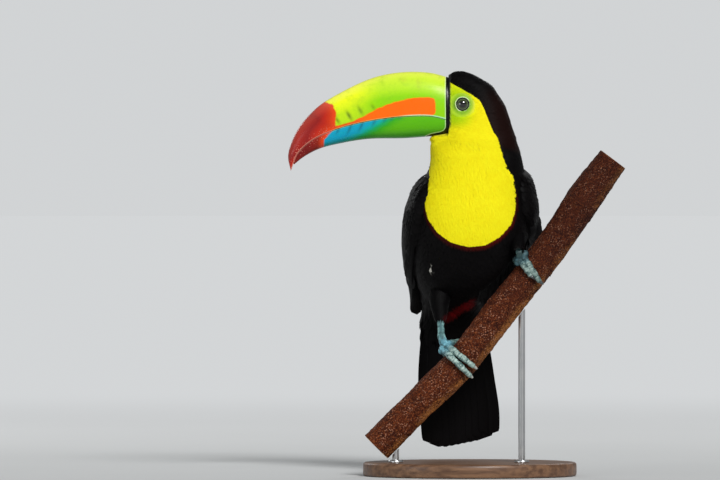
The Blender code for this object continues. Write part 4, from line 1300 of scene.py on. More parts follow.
def make_skin(material):
    """One skin over head, neck, trunk, thighs and the beds of the wings.

    Rings of body_shape, raised by wing_bed and moved inwards along the surface's normal by the
    coat's depth, joined to the thigh tubes by exact union.
    """
    eyes = (math.radians(-15.0), math.radians(-165.0))
    place = crowded(0.6, float(spine_place(128.0)), 210, (float(spine_place(EYE_Z)),), 12.0, 2.2)
    angle = crowded(-1.5 * math.pi, 0.5 * math.pi, 177, eyes, 0.35, 2.0)[:-1]
    u, v = np.meshgrid(place, angle, indexing="ij")
    spot = surface_frame(body_shape, u, v, 0.5, 0.02)
    depth = coat_depth(u, spot["point"])
    lids = 0.35 * np.exp(-((eye_distance(spot["point"]) - 7.2) / 1.1) ** 2)
    on_side = ease(np.abs(spot["point"][..., 1] - BILL_Y), 12.0, 16.0)
    rings = body_shape(u, v, wing_bed(u, v)) + spot["normal"] * (lids * on_side - depth)[..., None]
    seated = rings[..., 2] > BILL_SEAT_Z + 1.5
    rings[..., 0] = np.where(seated, np.maximum(rings[..., 0], BILL_BASE_X + 0.5), rings[..., 0])
    rings[..., 1] = BILL_Y + np.sign(rings[..., 1] - BILL_Y) * round_the_ball(rings)
    skin = add_tubes("body_skin", [rings])
    beds = [thigh_bed(side) for side in SIDE_SIGN]
    for bed in beds:
        join = skin.modifiers.new(bed.name, "BOOLEAN")
        join.operation = "UNION"
        join.solver = "EXACT"
        join.object = bed
    depsgraph = bpy.context.evaluated_depsgraph_get()
    whole = bpy.data.meshes.new_from_object(skin.evaluated_get(depsgraph))
    skin.modifiers.clear()
    skin.data = whole
    for bed in beds:
        bpy.data.objects.remove(bed, do_unlink=True)
    points = mesh_points(skin)
    place, angle = place_on_body(points)
    marks = bird_marks(place, angle, points)
    apart = ease(dot(points - body_shape(place, angle), unit(points - spine_point(place))), -0.2, 0.6)
    apart = apart * (points[..., 2] < 300.0)
    for key in ("bib", "rump", "vent", "nape", "hem"):
        marks[key] = marks[key] * (1 - apart) + PLAIN_BLACK[key] * apart
    give_values(skin, tone=0.4, along=0.5, across=0.5, **marks)
    return dress(skin, material, "face_plumage", "head", "neck", "trunk", "thigh_left", "thigh_right")


def place_on_body(points):
    """Place and angle of points near the body.

    The place is moved four times towards the section whose plane holds the point, and the angle
    is the superellipse's there.
    """
    place = spine_place(np.clip(points[..., 2], 100.0, 359.3))
    for _ in range(4):
        tangent = spine_tangent(place - SPINE_PROBE, place + SPINE_PROBE)
        along = dot((points - spine_point(place))[..., 1:], tangent)
        place = np.clip(place + 0.8 * along, 0.0, BODY_KNOTS[-1])
    row = smooth_curve(BODY_KNOTS, BODY_ROWS, place)
    x, y, z = np.moveaxis(points - row[..., :3], -1, 0)
    forward = y * tangent[..., 1] - z * tangent[..., 0]
    across = x / np.maximum(np.where(x > 0, row[..., 4], row[..., 3]), 0.1)
    ahead = forward / np.maximum(np.where(forward > 0, row[..., 5], row[..., 6]), 0.1)
    power = BODY_SQUARENESS / 2
    return place, np.arctan2(signed_power(across, power), signed_power(ahead, power))


def thigh_curve(side):
    """Middle line, radii and knots of a thigh, begun deeper in the trunk so that it swells out.

    The left one reaches further down over its shank.
    """
    path = np.array(LEGS[side]["thigh"])
    start = path[0] + (path[0] - path[1]) * 0.75 + np.array((0.0, 6.0, 0.0))
    path = np.vstack((start, path))
    first, middle, last = LEGS[side]["thigh_radii"]
    path[2] = path[2] + (SIDE_SIGN[side] * 3.0, 2.5, 0.0)
    if side == "left":
        path[3] = path[3] + unit(path[3] - path[2]) * 4.0
    radii = np.array((first * 0.5, first * 0.62, middle * 0.66, last * 0.92))
    return path, radii, chord_knots(path)


def thigh_bed(side):
    """Tube under a thigh's feathers, to be joined with the skin."""
    path, radii, knots = thigh_curve(side)
    fine = np.linspace(0.0, knots[-1], 24)
    rings = pipe_rings(smooth_curve(knots, path, fine), smooth_curve(knots, radii, fine) - 1.3, 40)
    return add_tubes("thigh_%s_bed" % side, [rings])


def place_on_wing(side, place, angle):
    """Share and chord of a folded wing over places of the body, and its spread in degrees."""
    first, last = wing_ends(side)
    share = (place - first) / (last - first)
    leading, spread = wing_section(side, share, 0.0)[:2]
    turn = np.degrees(wrapped(angle)) % 360.0
    return share, ((turn if side == "left" else 360.0 - turn) - leading) / spread, spread


def wing_bed(place, angle):
    """Height of the wings' flesh over the trunk: a low swelling under the coverts."""
    total = 0.0
    for side in WINGS:
        share, chord = place_on_wing(side, place, angle)[:2]
        gap, thickness = wing_section(side, share, chord)[2:]
        soft = (ease(chord, 0.02, 0.18) * (1 - ease(chord, 0.82, 0.98))
                * ease(share, 0.03, 0.18) * (1 - ease(share, 0.50, 0.66)))
        total = total + np.maximum(gap + thickness - FLIGHT_SINK, 0.0) * soft
    return total


# -------------------- coat

def under_wing(place, angle):
    """True well under a folded wing, where no feather shows."""
    hidden = np.zeros(np.shape(place), dtype=bool)
    for side in WINGS:
        share, chord, spread = place_on_wing(side, place, angle)
        hidden |= (share > 0.08) & (share < 0.8) & (chord * spread > 14.0) & ((1 - chord) * spread > 16.0)
    return hidden


def clear_of_bill(points):
    """True where a feather's root is behind the bill's rim."""
    return (points[..., 0] > rim_edge(points[..., 2]) - 0.3) | (points[..., 2] < BILL_SEAT_Z + 1.2)


# Name, slot, spine heights of top and bottom, gaps along and across; then the heights between
# which feathers grow from the first to the second length and width; rise, thickness, form, where
COAT_PIECES = (
    ("face_feathers", "face_plumage", 358.6, 300.0, (0.95, 0.9),
     (325.0, 300.0), (3.2, 4.4), (1.15, 1.45), 0.08, 0.06, SMALL_FEATHER, "face"),
    ("bib_feathers", "bib_plumage", 302.4, 196.0, (1.15, 1.1),
     (300.0, 225.0), (4.4, 6.2), (1.45, 1.9), 0.10, 0.07, SMALL_FEATHER, "bib"),
    ("cap_feathers", "black_plumage", 359.29, 262.0, (1.3, 1.25),
     (345.0, 270.0), (4.2, 8.6), (1.4, 2.5), 0.42, 0.10, SMALL_FEATHER, "cap"),
    ("trunk_feathers", "black_plumage", 262.0, 158.0, (2.0, 1.9),
     (262.0, 190.0), (8.5, 12.5), (2.9, 4.4), 0.2, 0.16, MID_FEATHER, "trunk"),
    ("tail_coverts", "black_plumage", 158.0, 131.0, (2.2, 1.9),
     (158.0, 131.0), (17.0, 17.0), (4.4, 4.4), 0.5, 0.2, MID_FEATHER, "trunk"),
)


def make_coat(fine, coarse):
    """The feathers of head, bib, nape, trunk and the coverts round the tail."""
    for number, row in enumerate(COAT_PIECES):
        name, slot, top, bottom, gaps, heights, lengths, widths, rise, thick, form, where = row
        u, v = rows_round_body(top, bottom, *gaps, number + 2)
        points = body_shape(u, v)
        inside = bird_marks(u, v, points)["bib"] > 0.0
        free = clear_of_bill(points)
        off_ring = (eye_oval(points) > 1.0) & (eye_oval(points + np.array((1.6, 0.0, 0.0))) > 1.0)
        kept = {"face": inside & free & off_ring, "bib": inside & free, "cap": ~inside & free,
                "trunk": ~inside & ~under_wing(u, v)}[where]
        u, v = u[kept], v[kept]
        depth = coat_depth(u, points[kept])
        grown = ease(-spine_height(u), -heights[0], -heights[1])
        length, width = [small + (large - small) * grown for small, large in (lengths, widths)]
        bake = ((-1.5 * math.pi, float(spine_place(top))), (0.5 * math.pi, float(spine_place(bottom)) + 1.0))
        plant(name, body_shape, u, wrapped(v), head_lie, (length, width, depth, rise + depth, thick),
              (0.4, 0.02), bird_marks, bake, form, fine if form is SMALL_FEATHER else coarse, slot,
              seed=number + 2)


def make_thigh_feathers(material):
    """Soft feathers down each thigh, rooted on its tube."""
    for number, side in enumerate(SIDE_SIGN):
        def shape(share, turn, side=side):
            line, radii, knots = thigh_curve(side)
            behind, here, ahead = [smooth_curve(knots, line, (share + step) * knots[-1])
                                   for step in (-0.02, 0.0, 0.02)]
            along = unit(ahead - behind)
            first = unit(np.cross(along, PIPE_START))
            out = np.cos(turn)[..., None] * first + np.sin(turn)[..., None] * np.cross(along, first)
            return here + out * smooth_curve(knots, radii, share * knots[-1])[..., None]

        rows, columns = 26, 30
        row, column = staggered([columns] * rows)
        dice = np.random.default_rng(SEED + 30 + number)
        share = 0.14 + 0.84 * (row + 0.5 + dice.uniform(-0.35, 0.35, len(row))) / rows
        turn = 2 * math.pi * (column + dice.uniform(-0.3, 0.3, len(row))) / columns

        def marks(u, v, points):
            return bird_marks(*place_on_body(points), points)

        size = 1 - 0.45 * share
        plant("thigh_feathers_" + side, shape, share, turn, lambda spot: spot["slope_u"],
              (11.0 * size, 3.0 * size, 1.1, 1.3, 0.16), (0.02, 0.03), marks,
              ((0.0, 0.0), (2 * math.pi, 1.0)), MID_FEATHER, material, "black_plumage", seed=20 + number)


# -------------------- wings and tail

VANE_COLUMNS = (-1.0, -0.72, -0.4, -0.1, 0.0, 0.1, 0.4, 0.72, 1.0)
VANE_TILT = 0.11  # rise towards the outer edge for each millimetre across


def laid_vanes(surface, middle, half, reach, thick, outer):
    """Closed rings of long feathers that lie on a surface and lap over each other like shingles.

    surface(across, height) gives points for places across it and heights over it in
    millimetres; middle and half are feathers x rows in units of across, and reach is half of
    a feather's width in millimetres. The outer edge (outer is -1 or 1) tilts up, the shaft
    stands proud of a thin lens, and the underside is flatter.
    """
    across = np.array(VANE_COLUMNS)
    inner = across[1:-1][::-1]
    top = 0.5 * (1 - across ** 2) + 0.5 * (np.abs(across) < 0.05)
    under = -0.35 * (1 - inner ** 2) - 0.4 * (np.abs(inner) < 0.05)
    marks = np.concatenate((across, inner))
    lens = np.concatenate((top, under))
    height = lens * thick[..., None] + outer * marks * VANE_TILT * reach[..., None]
    return surface(middle[..., None] + marks * half[..., None], height), marks


def tapered(share, blunt):
    """Width of a long feather along it: narrow at the root, broad, rounded from blunt to 1."""
    root = 0.45 + 0.55 * ease(share, 0.0, 0.3)
    tip = np.sqrt(np.maximum(1 - (np.maximum(share - blunt, 0.0) / (1.0 - blunt)) ** 2, 0.012))
    return root * tip


def add_vanes(name, rings, marks, material, slot, *nodes):
    """One piece of long feathers from their rings."""
    piece = add_tubes(name, list(rings), sharp=35.0)
    feathers, rows, sides = rings.shape[:3]
    share = np.linspace(0.0, 1.0, rows)
    along = with_ends(np.repeat(share, sides), 0.0, 1.0)
    across = with_ends(np.tile(marks, rows))
    tone = np.random.default_rng(SEED).uniform(0.2, 0.8, feathers)
    give_values(piece, along=np.tile(along, feathers), across=np.tile(across, feathers),
                tone=np.repeat(tone, len(along)), **PLAIN_BLACK)
    return dress(piece, material, slot, *nodes)


def make_wing(side, coarse, vanes):
    """Flight feathers laid along the wing, and rows of coverts above them.

    The outermost flight feather runs along the leading edge to the tip; each further one lies
    over the last and ends higher up.
    """
    sign = SIDE_SIGN[side]
    count, rows = 17, 34
    order = np.linspace(0.0, 1.0, count)[:, None]
    run = np.linspace(0.0, 1.0, rows)[None, :]
    tip = 0.997 - 0.02 * order - 0.06 * ease(order, 0.4, 1.0)
    share = 0.24 + (tip - 0.24) * run
    girth = np.linalg.norm(wing_shape(side, share, 0.9) - wing_shape(side, share, 0.1), axis=-1) * 1.5
    broadest = 5.6 + 1.6 * np.sin(math.pi * order)
    reach = broadest * tapered(run, 0.95 - 0.11 * ease(order, 0.0, 0.5))
    half = np.minimum(reach / girth, 0.2)
    widest = np.minimum(broadest / girth, 0.2)
    drawn = 0.72 + 0.28 * ease(run, 0.0, 0.6)
    middle = widest + (1 - 2 * widest) * order * drawn
    flat = share[..., None]

    def surface(across, height):
        return wing_shape(side, flat + 0 * across, np.clip(across, 0.004, 0.996), height - FLIGHT_SINK)

    thick = 0.85 - 0.4 * run + 0 * order
    rings, across = laid_vanes(surface, middle, half, reach, thick, -1.0)
    add_vanes("flight_feathers_" + side, rings, across, vanes, "black_plumage", "wing_" + side)

    def shape(share, chord):
        return wing_shape(side, share, chord, -COVERT_SINK)

    dice = np.random.default_rng(SEED + 60)
    gaps = 2.3 + 4.6 * ease(np.linspace(0.0, 1.0, 24), 0.3, 1.0)
    lines = 0.015 + 0.60 * np.cumsum(gaps) / gaps.sum()
    girth = line_lengths(shape(lines[:, None], np.linspace(0.0, 1.0, 25)[None, :]))
    numbers = np.maximum((girth / (1.9 + 0.45 * gaps)).astype(int), 4)
    row, column = staggered(numbers)
    chord = (column + 0.25 + dice.uniform(-0.12, 0.12, len(row))) / (numbers[row] + 0.5)
    chord = np.clip(chord, 0.015, 0.985)
    share = lines[row]
    length = 2.9 * gaps[row] + 1.5

    def marks(u, v, points):
        return {key: np.full(len(u), value) for key, value in PLAIN_BLACK.items()}

    def lie(spot):
        return unit(spot["slope_u"]) + 0.12 * unit(spot["slope_v"])

    plant("wing_coverts_" + side, shape, share, chord, lie,
          (length, 0.52 * length + 1.2, 1.5, 1.75, 0.3), (0.008, 0.01), marks, ((0.0, 0.0), (1.0, 0.64)),
          BROAD_FEATHER, coarse, "black_plumage", sign=sign, seed=61)


def make_tail(vanes):
    """Ten tail feathers in a rounded fan, the middle pair hindmost and longest."""
    count, rows = 10, 40
    slot_of = (np.arange(count) - (count - 1) / 2) / ((count - 1) / 2)
    order = slot_of[:, None]
    run = np.linspace(0.0, 1.0, rows)[None, :]
    widest = 0.27
    middle = (1 - widest) * order + 0 * run
    tip = tail_tip_height(middle[:, -1:] * 1.05) - 1.2
    height = TAIL_ROOT_Z + (tip - TAIL_ROOT_Z) * run
    half = widest * tapered(run, 0.955) * (0.9 + 0.1 * run)
    middle = middle + np.sign(order) * (widest - half) * (np.abs(order) > 0.9) * (1 - ease(run, 0.9, 1.0))
    reach = TAIL_HALF_WIDTH * half
    flat = height[..., None]

    def surface(across, lift):
        points = tail_shape(flat + 0 * across, np.clip(across, -1.0, 1.0))
        points[..., 1] += 0.9 - 1.7 * np.abs(order[..., None]) + 0.2 * np.sign(order[..., None]) - lift
        return points

    thick = 1.3 - 0.7 * run + 0 * order
    near, across = laid_vanes(surface, middle, half, reach, thick, -1.0)
    far, across = laid_vanes(surface, middle, half, reach, thick, 1.0)
    rings = np.where(order[..., None, None] > 0, near, far)
    add_vanes("tail_feathers", rings, across, vanes, "black_plumage", "tail")


# -------------------- bill

def notch_marks(x, gap, places):
    """1 in the middle of each soft dark notch beside the mouth.

    places holds for each notch its x, its height over the mouth, half its height and its depth.
    """
    wave = sum(deep * np.exp(-((x + 0.5 * (gap - high) - place) / 1.45) ** 2 - ((gap - high) / tall) ** 2)
               for place, high, tall, deep in places)
    return np.clip(wave, 0.0, 1.0)


def mandible_rings(edge, width, mouth, sign, sides, places):
    """Arched sections on the mouth line, as in the solids, with the saw notches cut in.

    y = w * cos(a)^p and height = h * sin(a)^p for a from 0 to pi. Along the ridge the section
    is drawn in at both sides so that a keel stands. The face at the mouth has a low ridge on the
    upper mandible, which lies in a groove of the lower one.
    """
    power = 2.0 / BILL_ROUNDNESS
    turn = np.linspace(0.0, math.pi, sides)
    across = signed_power(np.cos(turn), power)
    rise = np.sin(turn).clip(0.0) ** power
    rise[-1] = 0.0
    flat = mouth[:, None] + (edge - mouth)[:, None] * rise[:, None]
    keel = 1 - 0.035 * np.exp(-((np.abs(np.cos(turn)) - 0.42) / 0.16) ** 2) * (sign > 0)
    gap = np.linalg.norm(flat - mouth[:, None], axis=-1)
    notch = notch_marks(flat[..., 0], gap, places)
    y = width[:, None] * across * keel - np.sign(across) * 0.35 * notch
    z = flat[..., 1] + sign * (MOUTH_GAP + 0.55 * notch * (gap < 0.8))
    rings = np.stack((flat[..., 0], BILL_Y + y, z), axis=-1)
    lane = np.array((-0.8, -0.5, 0.0, 0.5, 0.8))
    fit = np.minimum(width / 4.0, 1.0)[:, None]
    dip = -(0.9 + (0.35 if sign < 0 else 0.0)) * (np.abs(lane) < 0.6) * fit + sign * MOUTH_GAP
    inner = np.stack((mouth[:, :1] + 0 * dip, BILL_Y + width[:, None] * lane, mouth[:, 1:] + dip), axis=-1)
    blank = np.zeros_like(dip)
    # The faces inside the mouth get notch 1, which paints them dark: painted shade in the slit.
    joined = [np.concatenate(pair, axis=1) for pair in
              ((gap, blank), (np.broadcast_to(rise, gap.shape), blank), (notch, blank + 1.0))]
    return (np.concatenate((rings, inner), axis=1), *joined)


def rounded_back(rings, gap, rise, notch):
    """The same sections with two smaller ones behind the first, sunk into the head."""
    middle = rings[:1].mean(axis=1, keepdims=True)
    lips = [middle + (rings[:1] - middle) * size + np.array((back, 0.0, 0.0))
            for size, back in ((0.90, 2.2), (0.975, 0.9))]
    twice = [np.concatenate((value[:1], value[:1], value)) for value in (gap, rise, notch)]
    return (np.concatenate((*lips, rings)), *twice)


def add_mandible(name, rings, gap, rise, notch, material, node, **extra):
    """A mandible with its masks; each of extra finds one more mask from the points."""
    rings, gap, rise, notch = rounded_back(rings, gap, rise, notch)
    piece = add_tubes(name, [rings], sharp=50.0)
    points = mesh_points(piece)
    flat = points[:, (0, 2)]
    give_values(piece, rise=with_ends(rise), lip=with_ends(gap), notch=with_ends(notch),
                red=depth_inside(flat, RED_TIP), rim=depth_inside(flat, BLACK_RIM),
                **{key: value(points) for key, value in extra.items()})
    return dress(piece, material, "bill_horn", node)


def make_bill(upper_horn, lower_horn):
    """Upper mandible with its keel and hooked tip, and the lower mandible under it."""
    table = np.array(BILL_HALF_WIDTH)
    share = 1 - (1 - np.linspace(0.0, 1.0, 190)) ** 1.25
    width = smooth_curve(table[:, 0], table[:, 1], share)
    mouth = even_curve(MOUTH, share)
    rings = mandible_rings(even_curve(CULMEN, share), width, mouth, 1, 84, NOTCH_PLACES_UPPER)

    def smudge(points):
        total = sum(np.exp(-oval_reach(points, spot) ** 2) for spot in SMUDGES)
        return np.clip(total, 0.0, 1.0) * soft_noise(points, 1.6)

    def orange(points):
        flat = points[:, (0, 2)]
        return np.maximum(depth_inside(flat, ORANGE_PATCH), depth_inside(flat + (0.0, 1.5), ORANGE_PATCH))

    add_mandible("bill_upper_horn", *rings, upper_horn, "bill_upper",
                 orange=orange, rear=lambda points: ease(points[:, 0], -66.0, -52.0),
                 front=lambda points: ease(-points[:, 0], 78.0, 108.0), smudge=smudge)
    held = share <= JAW_SHARE
    along = share[held] / share[held][-1]
    width = JAW_NARROWING * width[held] * np.sqrt(1.02 - along ** 9)
    rings = mandible_rings(even_curve(JAW_LINE, along), width, mouth[held], -1, 72, NOTCH_PLACES_LOWER)

    def blue(points):
        return ease(-(points[:, 0] + 62.0) - (319.0 - points[:, 2]) * 1.63, -14.0, 22.0)

    add_mandible("bill_lower_horn", *rings, lower_horn, "bill_lower", blue=blue)


# -------------------- eyes

def make_eye(side, gloss, lid_skin):
    """Eyeball with a low bulge over its iris, and the ring of its lids."""
    out = -SIDE_SIGN[side]
    polar = np.linspace(0.02, math.pi - 0.02, 72)[:, None]
    turn = turns(72)[None, :]
    reach = EYE_RADIUS * np.sin(polar)
    bulge = 0.45 * np.maximum(1 - (polar / 0.62) ** 2, 0.0) ** 2
    radius = EYE_RADIUS + bulge
    x = EYE_X + radius * np.sin(polar) * np.cos(turn)
    z = EYE_Z + radius * np.sin(polar) * np.sin(turn)
    y = BILL_Y + out * (EYE_SIDE + radius * np.cos(polar) + 0 * turn)
    ball = add_tubes("eyeball_" + side, [np.stack((x, y, z), axis=-1)])
    front = np.where(polar < math.pi / 2, reach, 9.0) + 0 * turn
    give_values(ball, reach=with_ends(front, 0.0, 9.0))
    dress(ball, gloss, "eye", "eye_" + side)
    turn = turns(96)
    radius = (EYE_OPENING + 0.28) * (1 + 0.010 * np.sin(3 * turn + 0.4) + 0.008 * np.sin(7 * turn))
    crease = 0.52 * (1 + 0.09 * np.sin(23 * turn) + 0.06 * np.sin(41 * turn + 1.0))
    outward = np.stack((np.cos(turn), np.zeros_like(turn), np.sin(turn)), axis=-1)
    centre = np.array((EYE_X, BILL_Y, EYE_Z)) + radius[:, None] * outward
    centre[:, 1] += out * (ball_depth(radius) + 0.12)
    around = turns(14)[None, :, None]
    lift = np.array((0.0, out, 0.0))
    points = centre[:, None] + crease[:, None, None] * (np.cos(around) * outward[:, None]
                                                        + 0.75 * np.sin(around) * lift)
    lids = add_piece("eyelids_" + side, points, [net_quads(96, 14, looped=True)])
    dress(lids, lid_skin, "face_plumage")


# -------------------- feet

def scute_wave(length, size):
    """Saw wave along a toe: each scute swells from its root and drops at its end."""
    share = (length / size) % 1.0
    return share ** 0.7 * (1 - ease(share, 0.86, 1.0))


def limb_rings(path, out, radii, sides, scutes):
    """Rings of a scaly limb, how deep in a crease each point is, which is darkened as painted shade, and how
    much pale dusting and painted highlight its top gets.

    The radius swells by the scute wave on the side that faces out and by pads on the other.
    """
    along = unit(np.gradient(path, axis=0))
    out = unit(out - along * dot(out, along)[:, None])
    side = np.cross(along, out)
    turn = turns(sides)[None, :]
    length = chord_knots(path)[:, None]
    top = ease(np.cos(turn), 0.0, 0.7)
    wave = scute_wave(length, scutes)
    pads = 0.5 + 0.5 * np.cos(length / (scutes * 1.9) * 2 * math.pi)
    radius = radii[:, None] * (0.99 + 0.06 * wave * top + 0.10 * pads * (1 - top)) - 0.04
    # How deep in a crease a point is, which the material darkens as painted shade.
    crease = (1 - ease(wave, 0.0, 0.35)) * top + 0.6 * (1 - ease(pads, 0.0, 0.3)) * (1 - top)
    ring = np.cos(turn)[..., None] * out[:, None] + np.sin(turn)[..., None] * side[:, None]
    # The third value: pale dusting and painted highlight on the top, most on each scute's swell.
    return path[:, None] + ring * radius[..., None], crease, top * (0.4 + 0.6 * wave)


def toe_line(start, start_angle, end, end_angle, claw_angle, bones, claw):
    """Middle line of a toe and its claw round the branch, with the direction away from the bark."""
    turn = math.copysign(claw_angle, end_angle - start_angle)
    places = np.concatenate((start + (end - start) * bones, np.full(len(claw), end)))
    angles = np.radians(np.concatenate((start_angle + (end_angle - start_angle) * bones,
                                        end_angle + turn * claw)))
    toe = TOE_RADIUS_ROOT + (TOE_RADIUS_TIP - TOE_RADIUS_ROOT) * bones
    swell = 1 + 0.10 * np.cos(bones * 6 * math.pi) - 0.16 * ease(bones, 0.9, 1.0)
    nail = CLAW_RADIUS + (CLAW_TIP_RADIUS - CLAW_RADIUS) * claw
    radii = np.concatenate((toe * swell, nail))
    clearance = np.concatenate((toe, nail + 1.6 * np.sin(math.pi * np.clip(claw, 0.0, 1.0))))
    path = round_branch(places, angles, branch_radius(places) + FOOT_GAP + clearance)
    return path, branch_directions(places, angles)[1], radii


def make_foot(side, scutes, horn):
    """Shank, ankle, pad and four scaly toes, and a separate piece for the claws."""
    leg = LEGS[side]
    bones = np.linspace(0.0, 1.0, 72)
    limbs = []
    claws = []
    toe_part = 0.3 + 0.7 * ease(bones, 0.08, 0.36)
    for toe in leg["toes"]:
        path, out, radii = toe_line(*toe, bones, np.zeros(0))
        limbs.append((*limb_rings(path, out, radii, 20, 2.1), toe_part))
        path, out, radii = toe_line(*toe, np.array((0.9, 0.95, 1.0)), np.linspace(0.06, 1.0, 26))
        thin = np.concatenate((np.full(3, CLAW_RADIUS * 0.92), radii[3:]))
        claws.append(pipe_rings(path, thin, 14, across=(0.62, 0.0, 0.78)))
    distance, degrees = leg["pad"]
    pad_radius = float(branch_radius(distance)) + FOOT_GAP + PAD_HEIGHT
    share = np.linspace(-0.97, 0.97, 30)
    around = np.full(30, math.radians(degrees))
    pad_path = round_branch(distance + PAD_LENGTH * share, around, pad_radius)
    out = branch_directions(distance + PAD_LENGTH * share, around)[1]
    pad_radii = PAD_HEIGHT * np.sqrt(1 - share ** 2)
    limbs.append((*limb_rings(pad_path, out, pad_radii, 24, 2.6), 0.3 + 0 * share))
    top = np.array(leg["thigh"][-1])
    low = np.array(leg["shank_low"])
    down = unit(low - top)
    centre = round_branch(distance, math.radians(degrees), pad_radius)
    lean = np.array((top - down * 3.0, low, low + down * 2.5, (low + down * 2.5 + centre) / 2, centre))
    knots = chord_knots(lean)
    fine = np.linspace(0.0, knots[-1], 80)
    path = smooth_curve(knots, lean, fine)
    radii = smooth_curve(knots, (3.0, 3.15, 3.4, 3.7, 3.5), fine)
    rings, crease, worn = limb_rings(path, np.tile((0.0, -1.0, 0.12), (80, 1)), radii, 24, 3.1)
    turn = turns(24)
    # Pale bands down both sides of the shank: painted highlight.
    worn = ease(np.abs(np.sin(turn)), 0.3, 0.75) + 0 * worn
    limbs.append((rings, 0.6 * crease, worn, 0.3 * ease(fine / knots[-1], 0.6, 0.85)))
    foot = add_tubes("foot_skin_" + side, [limb[0] for limb in limbs], sharp=60.0)
    crease, worn, toe = [np.concatenate([with_ends(value) for value in values]) for values in
                         zip(*((limb[1], limb[2], limb[3][:, None] + 0 * limb[1]) for limb in limbs))]
    # The left foot is darkened, less towards the toes' ends: painted shadow under the belly.
    dusk = (0.76 - 0.44 * ease(toe, 0.35, 1.0)) * (side == "left")
    give_values(foot, crease=crease, worn=worn, toe=toe, dusk=dusk)
    dress(foot, scutes, "foot_skin", "shank_" + side, "foot_" + side)
    nails = add_tubes("claws_" + side, claws)
    each = np.repeat(np.linspace(0.0, 1.0, claws[0].shape[0]), claws[0].shape[1])
    give_values(nails, along=np.tile(with_ends(each, 0.0, 1.0), len(claws)))
    dress(nails, horn, "foot_skin")


# -------------------- perch and stand

def make_branch(bark, cut_wood):
    """Cut branch with rough bark: the waver of the solid, plus ridges and pits from noise."""
    distance, angle = np.meshgrid(np.linspace(0.0, branch_length(), 330), turns(110), indexing="ij")
    waver = np.sin(distance / 11.0 + 2 * angle) + np.sin(distance / 17.0 - 3 * angle + 1.0)
    radius = branch_radius(distance) + BRANCH_WAVE * waver / 2
    points = round_branch(distance, angle, radius)
    lumps = layered_noise(points, 9.0, SEED + 3) - 0.5
    grit = layered_noise(points, 2.6, SEED + 9, 3) - 0.5
    unrolled = np.stack((distance / 3.0, angle * 14.0, 0 * angle), axis=-1)
    plates = layered_noise(unrolled, 2.2, SEED + 17, 3) - 0.5
    knots = sum(tall * np.exp(-((distance - place) / wide) ** 2
                              - (np.sin((angle - turn) / 2) * BRANCH_WIDTH / wide) ** 2)
                for place, turn, wide, tall in BRANCH_KNOTS)
    radius += 0.9 * lumps + 1.1 * grit + 0.9 * plates + knots - 0.35
    points = round_branch(distance, angle, radius)
    branch = add_tubes("branch_bark", [points], sharp=35.0)
    out = unit(points - round_branch(distance, angle, 0.01))
    # The lower right side of the branch, where the bark gets its painted highlight.
    lit_low_edge = ease(out[..., 0] * 0.64 - out[..., 2] * 0.77, 0.45, 0.9)
    give_values(branch, edge=with_ends(lit_low_edge), far=with_ends(distance / branch_length(), 0.0, 1.0))
    dress(branch, bark, "bark", "perch_branch")
    discs = []
    rings_at = []
    for end, step in ((0.0, -0.25), (branch_length(), 0.25)):
        radius = float(branch_radius(end))
        share = np.linspace(0.0, 1.0, 10) * 0.95 + 0.02
        reach = np.append(share * (radius - 0.6), [radius - 0.5] * 2)
        reach, turn = np.meshgrid(reach, turns(72), indexing="ij")
        points = round_branch(np.full(reach.shape, end), turn, reach)
        out = branch_directions(np.array(end), np.array(0.0))[0] * step
        points[:11] += out
        points[11] -= out * 2
        discs.append(points)
        rings_at.append(with_ends(reach, 0.0, radius))
    cuts = add_tubes("branch_cuts", discs)
    give_values(cuts, ring=np.concatenate(rings_at))
    dress(cuts, cut_wood, "bark")


def lathe_rings(middle, reaches, heights, sides):
    """Level rings round an upright axis, from reaches along x and y and the rings' heights."""
    turn = turns(sides)[None, :]
    across, deep, height = [np.array(row)[:, None] for row in (*reaches, heights)]
    return np.stack((middle[0] + across * np.cos(turn), middle[1] + deep * np.sin(turn), height + 0 * turn),
                    axis=-1)


def make_stand(wood, steel):
    """Oval base whose rim is rounded, a steel collar at each rod's foot, and the rods."""
    inset = np.array((6.0, 1.2, 0.4, 0.0, 0.0, 0.25, 0.9, 1.9, 3.0, 4.2, 40.0, 72.0))
    height = (0.0, 0.0, 0.4, 1.3, 9.0, 10.4, 11.4, 11.85, *[BASE_HEIGHT] * 4)
    rings = lathe_rings((0.0, 0.0), (BASE_LENGTH / 2 - inset, BASE_WIDTH / 2 - inset), height, 160)
    dress(add_tubes("stand_oval", [rings], sharp=50.0), wood, "base_wood", "stand_base")
    reach = (3.4, 6.2, 6.6, 6.6, 6.2, 5.0, 3.6, 3.1)
    height = BASE_HEIGHT + np.array((0.05, 0.05, 0.4, 1.4, 1.9, 2.1, 2.3, 2.3))
    collars = [lathe_rings((x, BRANCH_Y), (reach, reach), height, 56) for x in ROD_PLACES.values()]
    dress(add_tubes("stand_collars", collars), steel, "rod_steel")
    for name in ROD_PLACES:
        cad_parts[name].data.materials.clear()
        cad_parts[name].data.materials.append(steel)


# -------------------- studio

FRAME_WIDTH = 639.4  # millimetres that the picture's width covers at the bird
FRAME_MIDDLE = (-97.7, 209.6)  # x and z at the picture's middle
CAMERA_DISTANCE = 9000.0
CAMERA_RISE = 0.8  # degrees that the camera looks down
LIGHT_TARGET = (-0.03, 0.0, 0.24)


def add_aimed(data, place, back):
    """Object for a light or camera at a place in metres, with its back to a direction."""
    aimed = bpy.data.objects.new(data.name, data)
    bpy.context.scene.collection.objects.link(aimed)
    aimed.location = place
    aimed.rotation_euler = Vector(back).to_track_quat("Z", "Y").to_euler()
    return aimed


def add_light(name, kind, place, back, power, **settings):
    data = bpy.data.lights.new(name, kind)
    for key, value in {"energy": power, **settings}.items():
        setattr(data, key, value)
    add_aimed(data, place, back)


